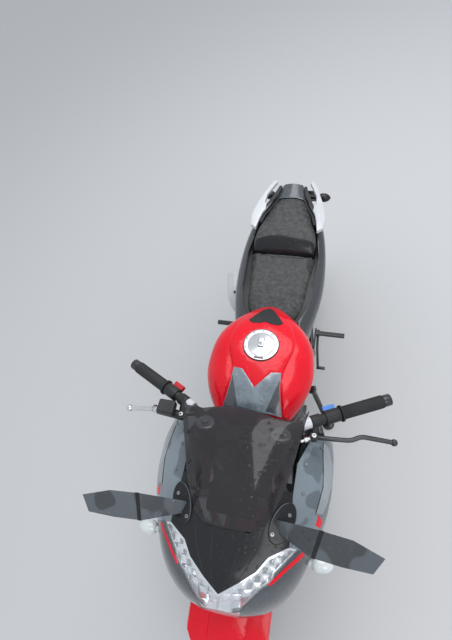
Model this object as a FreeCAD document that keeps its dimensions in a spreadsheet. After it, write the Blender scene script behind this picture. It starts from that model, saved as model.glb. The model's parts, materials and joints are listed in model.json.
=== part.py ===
import FreeCAD, Part
import math
import os
import Sketcher
from FreeCAD import Placement, Rotation, Vector

# A quarter-litre faired sport bike that leans on its side stand.
# Design frame: X forward, Y to the rider's left, Z up, bike upright, ground at Z = 0, millimetres.
# At the end every piece gets the parked placement, with the origin under the middle of the bike.

doc = FreeCAD.newDocument("sport_bike")
sheet = doc.addObject("Spreadsheet::Sheet", "sizes")

# Driving dimensions: name, millimetres or degrees, what it is
SIZES = [
    ("wheelbase", 1367, "between the two axles"),
    ("front_axle_x", 683.5, "front axle ahead of the middle"),
    ("lean_angle", 11, "lean to the left on the stand"),
    ("rake_angle", 25, "steering axis from upright"),
    ("trail", 95, "steering axis ahead of the contact point"),
    ("front_tyre_radius", 293, "110/70-17"),
    ("front_tyre_width", 110, "110/70-17"),
    ("front_bead", 40, "half width at the bead"),
    ("rear_tyre_radius", 314, "140/70-17"),
    ("rear_tyre_width", 140, "140/70-17"),
    ("rear_bead", 57, "half width at the bead"),
    ("tyre_wall", 9, "carcass and tread together"),
    ("bead_seat_radius", 219, "17 inch rim"),
    ("flange_height", 9, "rim flange above the bead seat"),
    ("flange_thick", 5, "rim flange"),
    ("rim_wall", 6, "rim barrel"),
    ("spoke_count", 5, "pairs of spoke arms"),
    ("spoke_width", 15, "one arm"),
    ("spoke_depth", 22, "one arm, along the axle"),
    ("hub_radius", 34, "both hubs"),
    ("front_axle_radius", 8.5, "hollow spindle"),
    ("rear_axle_radius", 9, "rear spindle"),
    ("bearing_play", 0.05, "radial, shaft in hub or tube"),
    ("seat_play", 0.3, "curved faces that meet"),
    ("fork_half_width", 97, "leg centre from the middle"),
    ("slider_radius", 27, "lower fork leg"),
    ("slider_top", 330, "above the axle along the leg"),
    ("slider_foot", 34, "below the axle along the leg"),
    ("stanchion_radius", 18.5, "upper fork tube"),
    ("stanchion_top", 760, "above the axle along the leg"),
    ("low_clamp_at", 520, "bottom clamp along the leg"),
    ("low_clamp_thick", 32, "bottom clamp"),
    ("top_clamp_at", 690, "top clamp along the leg"),
    ("top_clamp_thick", 26, "top clamp"),
    ("stem_radius", 14, "steering stem"),
    ("stem_bore_radius", 8, "hollow in the stem, for a lift pin"),
    ("head_tube_radius", 29, "frame head tube"),
    ("clip_at", 735, "handlebar clamp along the leg"),
    ("clip_thick", 26, "handlebar clamp"),
    ("bar_radius", 11, "handlebar tube"),
    ("grip_radius", 16.5, "rubber grip"),
    ("grip_length", 118, "rubber grip"),
    ("front_disc_radius", 148, "front brake disc"),
    ("rear_disc_radius", 110, "rear brake disc"),
    ("disc_band", 34, "brake surface, radial"),
    ("disc_thick", 5, "both discs"),
    ("front_disc_y", 58, "disc plane right of the middle"),
    ("rear_disc_y", 78, "disc plane right of the middle"),
    ("disc_windows", 5, "openings in the carrier"),
    ("chain_y", 88, "chain plane left of the middle"),
    ("chain_pitch", 15.875, "520 chain"),
    ("rear_teeth", 38, "rear sprocket"),
    ("front_teeth", 15, "gearbox sprocket"),
    ("sprocket_thick", 6, "rear sprocket"),
    ("chain_width", 16, "over the outer plates"),
    ("chain_plate", 3, "side plate"),
    ("chain_height", 13, "side plate"),
    ("roller_radius", 5, "chain roller"),
    ("gearbox_x", -125, "gearbox sprocket"),
    ("gearbox_z", 350, "gearbox sprocket"),
    ("pivot_x", -200, "swingarm pivot"),
    ("pivot_z", 348, "swingarm pivot"),
    ("arm_inner", 100, "swingarm arm, inner face from the middle"),
    ("arm_thick", 28, "swingarm arm"),
    ("plate_inner", 133, "pivot plate, inner face from the middle"),
    ("plate_thick", 12, "pivot plate"),
    ("spar_radius", 20, "main frame tube"),
    ("rail_radius", 11, "subframe tube"),
    ("case_half_width", 115, "crankcase"),
    ("case_floor", 245, "crankcase bottom"),
    ("case_roof", 430, "crankcase top"),
    ("header_radius", 17, "exhaust header"),
    ("pipe_radius", 21, "exhaust collector pipe"),
    ("panel", 4, "plastic panel"),
    ("screen_thick", 3, "windscreen"),
    ("lens_thick", 3, "headlight lens"),
    ("lamp_depth", 36, "headlight behind its face"),
    ("bowl_wall", 5, "reflector bowl of the headlight"),
    ("tank_floor", 768, "underside of the tank"),
    ("seat_floor", 735, "underside of both seats"),
    ("cap_x", 89, "fuel cap centre"),
    ("cap_radius", 38, "fuel cap lid"),
    ("cap_gap", 0.8, "around the lid"),
    ("cap_thick", 6, "fuel cap lid"),
    ("cap_ring_radius", 51, "filler ring"),
    ("cap_z", 936, "top of the filler ring"),
    ("filler_radius", 22, "filler neck"),
    ("filler_depth", 60, "filler neck below the ring"),
    ("stand_x", -75, "side stand pivot"),
    ("stand_y", 164, "side stand pivot"),
    ("stand_z", 290, "side stand pivot"),
    ("stand_foot_x", -20, "stand foot on the ground"),
    ("stand_foot_y", 262, "stand foot on the ground"),
    ("stand_pin_radius", 7, "side stand pivot pin"),
    ("stand_leg_radius", 11, "side stand leg"),
    ("stand_pad_radius", 27, "side stand foot pad"),
    ("stand_pad_thick", 8, "side stand foot pad"),
    ("peg_x", -335, "rider's footrest"),
    ("peg_z", 330, "rider's footrest"),
    ("peg_radius", 11, "rider's footrest"),
    ("spool_radius", 4, "lift spool hole in the swingarm"),
    ("spool_depth", 18, "lift spool hole in the swingarm"),
    ("spool_x", -620, "lift spool hole in the swingarm"),
]
for row, (name, value, note) in enumerate(SIZES, start=1):
    sheet.set("A%d" % row, note)
    sheet.set("B%d" % row, str(value))
    sheet.setAlias("B%d" % row, name)
doc.recompute()


def size(name):
    return float(sheet.get(name))


# Shared helpers

X_AXIS = Vector(1, 0, 0)
Y_AXIS = Vector(0, 1, 0)
Z_AXIS = Vector(0, 0, 1)
ORIGIN = Vector(0, 0, 0)
labels = []


def add(label, shape):
    """Put a finished shape in the document as one named sub-part."""
    piece = doc.addObject("Part::Feature", label)
    piece.Shape = shape
    labels.append(label)
    return piece


def mirrored(shape):
    return shape.mirror(ORIGIN, Y_AXIS)


def both(shape):
    """A left piece and its right twin, as separate solids."""
    return Part.makeCompound([shape, mirrored(shape)])


def made(label):
    """The shape of a piece that is already built."""
    doc.recompute()
    return [item for item in doc.Objects if item.Label == label][0].Shape


def fused(first, *others):
    return first.fuse(list(others))


def turned(shape, angle, centre=ORIGIN, axis=Y_AXIS):
    copy = shape.copy()
    copy.rotate(centre, axis, angle)
    return copy


def rod(start, end, radius):
    return Part.makeCylinder(radius, (end - start).Length, start, end - start)


def hollow_rod(start, end, outer, inner):
    return rod(start, end, outer).cut(rod(start, end, inner))


def polygon(points):
    return Part.Face(Part.makePolygon(points + [points[0]]))


def side_prism(corners, y_low, y_high):
    """Extrude a side-view outline of (x, z) corners across the bike."""
    face = polygon([Vector(x, y_low, z) for x, z in corners])
    return face.extrude(Vector(0, y_high - y_low, 0))


def plan_prism(corners, z_low, z_high):
    """Extrude a plan outline of (x, y) corners upwards."""
    face = polygon([Vector(x, y, z_low) for x, y in corners])
    return face.extrude(Vector(0, 0, z_high - z_low))


def front_prism(corners, x_low, x_high):
    """Extrude a front-view outline of (y, z) corners along the bike."""
    face = polygon([Vector(x_low, y, z) for y, z in corners])
    return face.extrude(Vector(x_high - x_low, 0, 0))


def soft_edges(shape, radius, along=None):
    """Round the edges of a shape, or only those that run along one axis."""
    edges = []
    for edge in shape.Edges:
        run = edge.lastVertex().Point - edge.firstVertex().Point
        if along is None or (run.Length > 0 and abs(run.normalize().dot(along)) > 0.99):
            edges.append(edge)
    return shape.makeFillet(radius, edges)


def tube(points, radius, bend=0.4):
    """A round bar: straight runs joined by tangent elbows.

    bend is the share of the shorter run that an elbow takes.
    """
    start = points[0]
    parts = []
    for before, corner, after in zip(points, points[1:], points[2:]):
        run_in = corner - before
        run_out = after - corner
        turn = run_in.getAngle(run_out)
        back = bend * min(run_in.Length, run_out.Length)
        way_in = Vector(run_in).normalize()
        way_out = Vector(run_out).normalize()
        axis = way_in.cross(way_out).normalize()
        arc_start = corner - way_in * back
        centre = arc_start + axis.cross(way_in) * (back / math.tan(turn / 2))
        ring = Part.Face(Part.Wire(Part.makeCircle(radius, arc_start, way_in)))
        parts.append(rod(start, arc_start, radius))
        parts.append(ring.revolve(centre, axis, math.degrees(turn)))
        start = corner + way_out * back
    parts.append(rod(start, points[-1], radius))
    return fused(*parts)


def rounded_box(centre, length, width, height, radius):
    box = Part.makeBox(length, width, height, centre - Vector(length / 2, width / 2, height / 2))
    return box.makeFillet(radius, box.Edges)


# The ground and the lean

lean = math.radians(size("lean_angle"))
half_base = size("front_axle_x")
rear_axle_x = half_base - size("wheelbase")
front_crown = size("front_tyre_width") / 2
rear_crown = size("rear_tyre_width") / 2
front_lift = front_crown * (1 - math.cos(lean))
rear_lift = rear_crown * (1 - math.cos(lean))
pitch = math.degrees(math.asin((rear_lift - front_lift) / size("wheelbase")))
tilt = Placement(ORIGIN, Rotation(Y_AXIS, pitch)).multiply(
    Placement(ORIGIN, Rotation(X_AXIS, -size("lean_angle"))))
level = (front_lift + rear_lift) / 2 + (half_base + rear_axle_x) / 2 * math.sin(math.radians(pitch))
parked = Placement(Vector(0, 0, level), Rotation()).multiply(tilt)
ground_up = parked.inverse().Rotation.multVec(Z_AXIS)

# The steering head: local x ahead of the axis, local z up along it

rake = math.radians(size("rake_angle"))
front_axle = Vector(half_base, 0, size("front_tyre_radius"))
rear_axle = Vector(rear_axle_x, 0, size("rear_tyre_radius"))
fork_offset = math.cos(rake) * (size("front_tyre_radius") * math.tan(rake) - size("trail"))
steer_up = Vector(-math.sin(rake), 0, math.cos(rake))
steer_ahead = Vector(math.cos(rake), 0, math.sin(rake))
steer_origin = front_axle - steer_ahead * fork_offset
steer_frame = Placement(steer_origin, Rotation(Y_AXIS, -size("rake_angle")))


def at_head(ahead, left, up):
    """A point given along and beside the steering axis."""
    return steer_frame.multVec(Vector(ahead, left, up))


def head_shape(shape):
    copy = shape.copy()
    copy.Placement = steer_frame.multiply(copy.Placement)
    return copy


def leg_point(along, side=1):
    return at_head(fork_offset, side * size("fork_half_width"), along)


# Wheels

def revolved(profile):
    """Turn a half profile of (radius, y) corners about the axle line through the origin."""
    face = polygon([Vector(0, y, radius) for radius, y in profile])
    return face.revolve(ORIGIN, Y_AXIS, 360)


def tyre_shape(radius, width, bead):
    """A carcass whose crown is flats, one of which lies on the ground at the parked lean."""
    crown = width / 2
    wall = size("tyre_wall")
    foot = size("bead_seat_radius") + size("seat_play")
    knee = foot + size("flange_height") + 1
    centre = radius - crown
    rest_flat = crown / math.cos(lean)
    shoulder = [(math.pi / 2, crown), (math.radians(56), crown), (2 * lean, rest_flat)]
    half = [(radius_out * math.sin(angle), centre + radius_out * math.cos(angle))
            for angle, radius_out in shoulder]
    outside = [(bead, foot), (bead, knee)] + half + [(0, centre + rest_flat)]
    lining = [(bead - wall, foot), (crown - 2 * wall, centre + crown / 2)]
    outline = [(z, y) for y, z in outside]
    outline += [(z, -y) for y, z in reversed(outside[:-1])]
    outline += [(z, -y) for y, z in lining]
    outline += [(z, y) for y, z in reversed(lining)]
    return revolved(outline)


def spoke_arm(lean_way, start_radius, end_radius):
    """One arm of a split spoke, from the hub to the barrel, in the XZ plane."""
    width = size("spoke_width")
    depth = size("spoke_depth")
    slices = []
    for radius, angle, share in ((start_radius, 3.5, 1.15), (end_radius, 12.5, 0.75)):
        turn = math.radians(lean_way * angle)
        along = Vector(math.cos(turn), 0, math.sin(turn))
        across = Vector(-math.sin(turn), 0, math.cos(turn)) * (width * share / 2)
        deep = Vector(0, depth * share / 2, 0)
        middle = along * radius
        corners = [middle + across + deep, middle - across + deep,
                   middle - across - deep, middle + across - deep]
        slices.append(Part.makePolygon(corners + [corners[0]]))
    return Part.makeLoft(slices, True, True)


def rim_shape(bead, hub_left, hub_right, boss_radius, axle_radius):
    """Barrel, split spokes and hub of a cast wheel centred on the origin."""
    seat = size("bead_seat_radius")
    flange = seat + size("flange_height")
    wall = size("rim_wall")
    edge = bead + size("flange_thick")
    well = seat - 16
    outer = [(flange, edge), (flange, bead), (seat, bead), (seat, bead * 0.6), (well, bead * 0.35)]
    inner = [(well - wall, bead * 0.35), (seat - wall, bead * 0.6), (seat - wall, edge - 1)]
    right_outer = [(radius, -y) for radius, y in reversed(outer)]
    right_inner = [(radius, -y) for radius, y in inner]
    barrel = revolved(outer + right_outer + list(reversed(right_inner)) + inner)
    hub = rod(Vector(0, -size("spoke_depth") / 2 - 6, 0), Vector(0, size("spoke_depth") / 2 + 6, 0),
              size("hub_radius"))
    bosses = [rod(Vector(0, -hub_right, 0), ORIGIN, boss_radius),
              rod(ORIGIN, Vector(0, hub_left, 0), boss_radius)]
    arms = []
    for number in range(int(size("spoke_count"))):
        for way in (1, -1):
            arm = spoke_arm(way, size("hub_radius") - 8, well - wall + 2)
            arms.append(turned(arm, number * 360.0 / size("spoke_count")))
    body = fused(barrel, hub, *(bosses + arms))
    bore = rod(Vector(0, -hub_right - 1, 0), Vector(0, hub_left + 1, 0),
               axle_radius + size("bearing_play"))
    return body.cut(bore)


def disc_body(label, radius_name, plane_y, centre):
    """A brake disc as a pad with carrier windows and a ring of cooling holes."""
    body = doc.addObject("PartDesign::Body", label)
    plane = [item for item in body.Origin.OriginFeatures if item.Role == "XZ_Plane"][0]

    def sketch(name, circles):
        drawing = body.newObject("Sketcher::SketchObject", label + "_" + name)
        drawing.AttachmentSupport = [(plane, "")]
        drawing.MapMode = "FlatFace"
        for radius_text, away_text in circles:
            ring = drawing.addGeometry(Part.Circle(ORIGIN, Z_AXIS, 10), False)
            if away_text is None:
                drawing.addConstraint(Sketcher.Constraint("Coincident", ring, 3, -1, 1))
            else:
                drawing.addConstraint(Sketcher.Constraint("DistanceX", -1, 1, ring, 3, 20))
                away = drawing.ConstraintCount - 1
                drawing.setExpression("Constraints[%d]" % away, away_text)
                drawing.addConstraint(Sketcher.Constraint("PointOnObject", ring, 3, -1))
            drawing.addConstraint(Sketcher.Constraint("Radius", ring, 10))
            drawing.setExpression("Constraints[%d]" % (drawing.ConstraintCount - 1), radius_text)
        return drawing

    radius = "sizes." + radius_name
    blank = sketch("blank", [(radius, None), ("sizes.front_axle_radius + 10", None)])
    pad = body.newObject("PartDesign::Pad", label + "_pad")
    pad.Profile = blank
    pad.Midplane = True
    pad.setExpression("Length", "sizes.disc_thick")
    doc.recompute()
    window_reach = "(%s - sizes.disc_band + 34) / 2" % radius
    window_size = "(%s - sizes.disc_band - 34) / 2 - 6" % radius
    cuts = [
        ("window", window_size, window_reach, "sizes.disc_windows"),
        ("hole_low", "3.2", "%s - sizes.disc_band * 0.68" % radius, "15"),
        ("hole_high", "3.2", "%s - sizes.disc_band * 0.3" % radius, "20"),
    ]
    for name, radius_text, away_text, count_text in cuts:
        pocket = body.newObject("PartDesign::Pocket", label + "_" + name)
        pocket.Profile = sketch(name + "_outline", [(radius_text, away_text)])
        pocket.Midplane = True
        pocket.Type = "Length"
        pocket.setExpression("Length", "sizes.disc_thick * 3")
        doc.recompute()
        pattern = body.newObject("PartDesign::PolarPattern", label + "_" + name + "_ring")
        pattern.Originals = [pocket]
        pattern.Axis = (plane, [""])
        pattern.Axis = ([item for item in body.Origin.OriginFeatures if item.Role == "Y_Axis"][0], [""])
        pattern.Angle = 360
        pattern.setExpression("Occurrences", count_text)
        body.Tip = pattern
        doc.recompute()
    body.Placement = Placement(Vector(centre.x, plane_y, centre.z), Rotation())
    labels.append(label)
    return body


def front_wheel():
    bead = size("front_bead")
    tyre = tyre_shape(size("front_tyre_radius"), size("front_tyre_width"), bead)
    disc_face = size("front_disc_y") - size("disc_thick") / 2
    rim = rim_shape(bead, 62, disc_face, 26, size("front_axle_radius"))
    tyre.translate(front_axle)
    rim.translate(front_axle)
    add("front_tyre", tyre)
    add("front_rim", rim)
    disc_body("front_disc", "front_disc_radius", -size("front_disc_y"), front_axle)


def rear_wheel():
    bead = size("rear_bead")
    tyre = tyre_shape(size("rear_tyre_radius"), size("rear_tyre_width"), bead)
    disc_face = size("rear_disc_y") - size("disc_thick") / 2
    rim = rim_shape(bead, size("chain_y") - size("sprocket_thick") / 2, disc_face, 30,
                    size("rear_axle_radius"))
    tyre.translate(rear_axle)
    rim.translate(rear_axle)
    add("rear_tyre", tyre)
    add("rear_rim", rim)
    disc_body("rear_disc", "rear_disc_radius", -size("rear_disc_y"), rear_axle)


def pitch_radius(teeth):
    return size("chain_pitch") / (2 * math.sin(math.pi / teeth))


def toothed_wheel(teeth, thick, bore):
    """A sprocket whose teeth end just under the chain rollers."""
    tip = pitch_radius(teeth) - size("roller_radius") - 0.6
    root = tip - 5
    points = []
    for number in range(int(teeth)):
        for share, radius in ((0.0, root), (0.3, root), (0.5, tip), (0.8, tip)):
            angle = 2 * math.pi * (number + share) / teeth
            points.append(Vector(radius * math.cos(angle), -thick / 2, radius * math.sin(angle)))
    wheel = polygon(points).extrude(Vector(0, thick, 0))
    return wheel.cut(rod(Vector(0, -thick, 0), Vector(0, thick, 0), bore))


def rear_sprocket():
    teeth = size("rear_teeth")
    thick = size("sprocket_thick")
    wheel = toothed_wheel(teeth, thick, size("rear_axle_radius") + 12)
    for number in range(5):
        window = rod(Vector(56, -thick, 0), Vector(56, thick, 0), 17)
        wheel = wheel.cut(turned(window, number * 72))
    wheel.translate(rear_axle + Vector(0, size("chain_y"), 0))
    add("rear_sprocket", wheel)


def chain():
    """Side plates as two bands and a roller at every pitch, round both sprockets."""
    rear_r = pitch_radius(size("rear_teeth"))
    front_r = pitch_radius(size("front_teeth"))
    front_c = Vector(size("gearbox_x"), 0, size("gearbox_z"))
    span = front_c - rear_axle
    reach = span.Length
    slope = math.atan2(span.z, span.x)
    spread = math.acos((rear_r - front_r) / reach)

    def on_ring(centre, radius, angle):
        return Vector(centre.x + radius * math.cos(angle), 0, centre.z + radius * math.sin(angle))

    def loop(offset, y):
        top_rear = on_ring(rear_axle, rear_r + offset, slope + spread)
        top_front = on_ring(front_c, front_r + offset, slope + spread)
        low_front = on_ring(front_c, front_r + offset, slope - spread)
        low_rear = on_ring(rear_axle, rear_r + offset, slope - spread)
        nose = on_ring(front_c, front_r + offset, slope)
        tail = on_ring(rear_axle, rear_r + offset, slope + math.pi)
        wire = Part.Wire([
            Part.LineSegment(top_rear, top_front).toShape(),
            Part.Arc(top_front, nose, low_front).toShape(),
            Part.LineSegment(low_front, low_rear).toShape(),
            Part.Arc(low_rear, tail, top_rear).toShape(),
        ])
        wire.translate(Vector(0, y, 0))
        return wire

    half = size("chain_height") / 2
    bands = []
    for side in (size("chain_y") - size("chain_width") / 2,
                 size("chain_y") + size("chain_width") / 2 - size("chain_plate")):
        outer = Part.Face(loop(half, side)).extrude(Vector(0, size("chain_plate"), 0))
        inner = Part.Face(loop(-half, side)).extrude(Vector(0, size("chain_plate"), 0))
        bands.append(outer.cut(inner))
    line = loop(0, size("chain_y") - size("chain_width") / 2 + 1)
    count = int(round(line.Length / size("chain_pitch")))
    rollers = []
    for point in line.discretize(Number=count + 1)[:-1]:
        ring = []
        for corner in range(6):
            angle = math.pi * corner / 3
            ring.append(point + Vector(math.cos(angle), 0, math.sin(angle)) * size("roller_radius"))
        rollers.append(polygon(ring).extrude(Vector(0, size("chain_width") - 2, 0)))
    return add("chain", fused(bands[0], bands[1], *rollers))


# Front fork and steering

def fork():
    tubes = []
    sliders = []
    for side in (1, -1):
        top = leg_point(size("stanchion_top"), side)
        tubes.append(rod(leg_point(size("slider_top") - 60, side), top, size("stanchion_radius")))
        body = rod(leg_point(-size("slider_foot"), side), leg_point(size("slider_top"), side),
                   size("slider_radius"))
        collar = rod(leg_point(size("slider_top") - 22, side), leg_point(size("slider_top"), side),
                     size("slider_radius") + 2.5)
        socket = rod(leg_point(size("slider_top") - 62, side), leg_point(size("slider_top") + 1, side),
                     size("stanchion_radius") + size("bearing_play"))
        eye = rod(front_axle + Vector(0, -200, 0), front_axle + Vector(0, 200, 0),
                  size("front_axle_radius") + size("bearing_play"))
        sliders.append(fused(body, collar).cut(socket).cut(eye))
    add("fork_tubes", Part.makeCompound(tubes))
    add("fork_sliders", Part.makeCompound(sliders))


def clamp_plate(thick, boss):
    """A fork clamp outline in the local steering frame, centred on its middle plane."""
    half = size("fork_half_width")
    web = [(-26, -30), (-22, 30), (fork_offset - 14, half), (fork_offset + 24, half),
           (26, 40), (26, -40), (fork_offset + 24, -half), (fork_offset - 14, -half)]
    plate = plan_prism(web, -thick / 2, thick / 2)
    bosses = [Part.makeCylinder(boss, thick, Vector(fork_offset, side * half, -thick / 2))
              for side in (1, -1)]
    middle = Part.makeCylinder(size("stem_radius") + 18, thick, Vector(0, 0, -thick / 2))
    plate = fused(plate, middle, *bosses)
    for side in (1, -1):
        bore = Part.makeCylinder(size("stanchion_radius") + size("bearing_play"), thick * 3,
                                 Vector(fork_offset, side * half, -thick * 1.5))
        plate = plate.cut(bore)
    return plate


def fork_clamps():
    low_thick = size("low_clamp_thick")
    top_thick = size("top_clamp_thick")
    low = clamp_plate(low_thick, 31)
    low.translate(Vector(0, 0, size("low_clamp_at")))
    foot = size("low_clamp_at") - low_thick / 2
    head = size("top_clamp_at") + top_thick / 2 + 3
    stem = Part.makeCylinder(size("stem_radius"), head - foot, Vector(0, 0, foot))
    low = fused(low, stem)
    low = low.cut(Part.makeCylinder(size("stem_bore_radius"), head - foot + 2, Vector(0, 0, foot - 1)))
    top = clamp_plate(top_thick, 29)
    top.translate(Vector(0, 0, size("top_clamp_at")))
    top = top.cut(Part.makeCylinder(size("stem_radius") + size("bearing_play"), 200,
                                    Vector(0, 0, size("top_clamp_at") - 100)))
    nut = Part.makeCylinder(20, 12, Vector(0, 0, size("top_clamp_at") + top_thick / 2))
    nut = nut.cut(Part.makeCylinder(size("stem_radius") + size("bearing_play"), 40,
                                    Vector(0, 0, size("top_clamp_at"))))
    add("fork_clamps", Part.makeCompound([head_shape(low), head_shape(top), head_shape(nut)]))


BAR_ROOT = Vector(340, 100, 962)
BAR_END = Vector(218, 334, 938)
bar_way = (BAR_END - BAR_ROOT).normalize()


def bar_point(along):
    return BAR_ROOT + bar_way * along


def handlebars():
    clip = size("clip_at")
    half = size("clip_thick") / 2
    ring = rod(leg_point(clip - half), leg_point(clip + half), size("stanchion_radius") + 10)
    riser_base = leg_point(clip)
    riser = rod(riser_base, bar_point(2), 13)
    bore = rod(leg_point(clip - 60), leg_point(size("stanchion_top") + 4),
               size("stanchion_radius") + size("bearing_play"))
    handle = rod(bar_point(-8), bar_point(285), size("bar_radius"))
    weight = rod(bar_point(272), bar_point(292), size("grip_radius") - 1)
    add("handlebars", both(fused(ring, riser, handle, weight).cut(bore)))


def grips():
    end = 271.5
    start = end - size("grip_length")
    sleeve = hollow_rod(bar_point(start), bar_point(end), size("grip_radius"),
                        size("bar_radius") + size("bearing_play"))
    flange = hollow_rod(bar_point(start), bar_point(start + 6), size("grip_radius") + 5,
                        size("bar_radius") + size("bearing_play"))
    add("grips", both(fused(sleeve, flange)))


LEVER_PIVOT = Vector(338, 176, 940)
KNUCKLE_RADIUS = 11


def switchgear():
    """Switch housings and lever perches on both bars, with the brake reservoir on the right."""
    bore = rod(bar_point(-10), bar_point(292), size("bar_radius") + size("bearing_play"))
    housing = rod(bar_point(112), bar_point(151), 18)
    perch = rod(bar_point(74), bar_point(98), 16)
    arm = rod(bar_point(86), LEVER_PIVOT, 9)
    knuckle = rod(LEVER_PIVOT - Vector(0, 0, 9), LEVER_PIVOT + Vector(0, 0, 9), KNUCKLE_RADIUS)
    left = fused(housing, perch, arm, knuckle, rod(bar_point(98), bar_point(112), 13)).cut(bore)
    cylinder = rod(LEVER_PIVOT, Vector(330, 246, 934), 12)
    tank = rounded_box(Vector(331, 214, 965), 38, 46, 26, 5)
    neck = rod(Vector(334, 214, 937), Vector(332, 214, 958), 8)
    right = fused(left, cylinder.cut(bore), tank.cut(bore), neck.cut(bore))
    add("switchgear", Part.makeCompound([left, mirrored(right)]))


def levers():
    clutch_root = LEVER_PIVOT + Vector(0, 9, 0)
    knuckle_room = rod(LEVER_PIVOT - Vector(0, 0, 20), LEVER_PIVOT + Vector(0, 0, 20),
                       KNUCKLE_RADIUS + size("seat_play"))
    clutch = fused(tube([clutch_root, Vector(334, 236, 937), Vector(330, 268, 934),
                        Vector(316, 292, 935), Vector(314, 372, 922)], 6, 0.4),
                   Part.makeSphere(9, Vector(314, 372, 922)))
    add("clutch_lever", clutch.cut(knuckle_room))
    brake_root = Vector(329.8, 248.5, 933.8)
    brake = fused(rod(brake_root, Vector(334, 328, 923), 6.5), Part.makeSphere(10, Vector(334.5, 334, 922)),
                  rod(brake_root, Vector(330.2, 258, 932.6), 10))
    shape = brake.cut(rod(LEVER_PIVOT, Vector(330, 246.3, 933.97), 12.3))
    add("brake_lever", mirrored(shape))


WING_OUTLINE = [(890, 50), (880, 80), (830, 108), (790, 130), (625, 130), (596, 100), (590, 50)]


def front_mudguard():
    """A curved band over the tyre with a tab to each slider."""
    low = size("front_tyre_radius") + 15
    thick = 3
    half = size("front_tyre_width") / 2 + 9
    outer = [(low + thick, -half + 22), (low + thick, half - 22), (low - 10, half), (low - 28, half)]
    inner = [(low - 28, half - thick), (low - 11, half - thick), (low, half - 23), (low, -half + 23),
             (low - 11, -half + thick), (low - 28, -half + thick)]
    closing = [(low - 28, -half), (low - 10, -half)]
    face = polygon([Vector(radius, y, 0) for radius, y in outer + inner + closing])
    band = face.revolve(ORIGIN, Y_AXIS, -135)
    band.rotate(ORIGIN, Y_AXIS, -28)
    band.translate(front_axle)
    wing = polygon([Vector(low - 2, half - 10, 0), Vector(low - 8, 112, 0), Vector(low - 26, 118, 0),
                    Vector(low - 28, 115, 0), Vector(low - 11, 109, 0), Vector(low - 6, half - 10, 0)])
    wing = wing.revolve(ORIGIN, Y_AXIS, -52)
    wing.rotate(ORIGIN, Y_AXIS, -52)
    wing.translate(front_axle)
    wing = wing.common(plan_prism(WING_OUTLINE, 400, 700))
    tabs = [wing, mirrored(wing)]
    inner_face = size("fork_half_width") - size("slider_radius")
    for side in (1, -1):
        foot = at_head(fork_offset - 14, side * (half - 2.9), low - 70)
        tab = Part.makeBox(28, inner_face - half + 2.6, 62, Vector(0, 0, 0))
        tab.rotate(ORIGIN, Y_AXIS, -size("rake_angle"))
        tab.translate(foot if side > 0 else foot - Vector(0, inner_face - half + 2.6, 0))
        tabs.append(tab)
    add("front_mudguard", fused(band, *tabs))


def front_axle_piece():
    spindle = hollow_rod(front_axle + Vector(0, -128, 0), front_axle + Vector(0, 128, 0),
                         size("front_axle_radius"), 5)
    cap = size("fork_half_width") + size("slider_radius") + size("seat_play")
    gap = size("fork_half_width") - size("slider_radius") - size("seat_play")
    rings = [hollow_rod(front_axle + Vector(0, low, 0), front_axle + Vector(0, high, 0), 15, 6)
             for low, high in ((cap, cap + 8), (-cap - 8, -cap))]
    spacers = [hollow_rod(front_axle + Vector(0, low, 0), front_axle + Vector(0, high, 0), 14, 6)
               for low, high in ((63, gap), (-gap, -size("front_disc_y") - size("disc_thick") / 2 - 1))]
    add("front_axle", fused(spindle, *(rings + spacers)))


def caliper(centre, plane_y, angle, reach, disc_radius, half_width):
    """A caliper over the disc's edge, with the slot that the disc runs in."""
    block = Part.makeBox(74, half_width * 2, 46, Vector(-37, -half_width, -23))
    block = soft_edges(block, 12, Y_AXIS)
    block.translate(Vector(reach, 0, 0))
    block.rotate(ORIGIN, Y_AXIS, -angle)
    slot = rod(Vector(0, -7.5, 0), Vector(0, 7.5, 0), disc_radius + 6)
    block = block.cut(slot)
    block.translate(centre + Vector(0, plane_y, 0))
    return block


def front_caliper():
    body = caliper(front_axle, -size("front_disc_y"), 152, 128, size("front_disc_radius"), 29)
    lug_start = front_axle + Vector(-100, -80, 92)
    lug_end = leg_point(150, -1) + Vector(-10, 0, 0)
    lug = rod(lug_start, lug_end, 9)
    low_lug = rod(front_axle + Vector(-92, -80, 20), leg_point(60, -1) + Vector(-10, 0, 0), 9)
    legs = rod(leg_point(-40, -1), leg_point(size("slider_top") + 10, -1),
               size("slider_radius") + size("seat_play"))
    add("front_caliper", biggest(fused(body, lug, low_lug).cut(legs)))


def brake_hose():
    points = [front_axle + Vector(-118, -86, 100), front_axle + Vector(-150, -96, 150),
              leg_point(260, -1) + Vector(-52, 0, 0), leg_point(420, -1) + Vector(-42, 0, 0),
              leg_point(500, -1) + Vector(-46, 0, 0), leg_point(620, -1) + Vector(-44, -12, 0),
              Vector(322, -138, 922), Vector(333, -168, 935)]
    add("brake_hose", tube(points, 4, 0.4).cut(made("switchgear")))


# Frame and running gear

def head_tube():
    low = size("low_clamp_at") + size("low_clamp_thick") / 2 + 5
    top = size("top_clamp_at") - size("top_clamp_thick") / 2 - 5
    outer = Part.makeCylinder(size("head_tube_radius"), top - low, Vector(0, 0, low))
    return head_shape(outer), low, top


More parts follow.
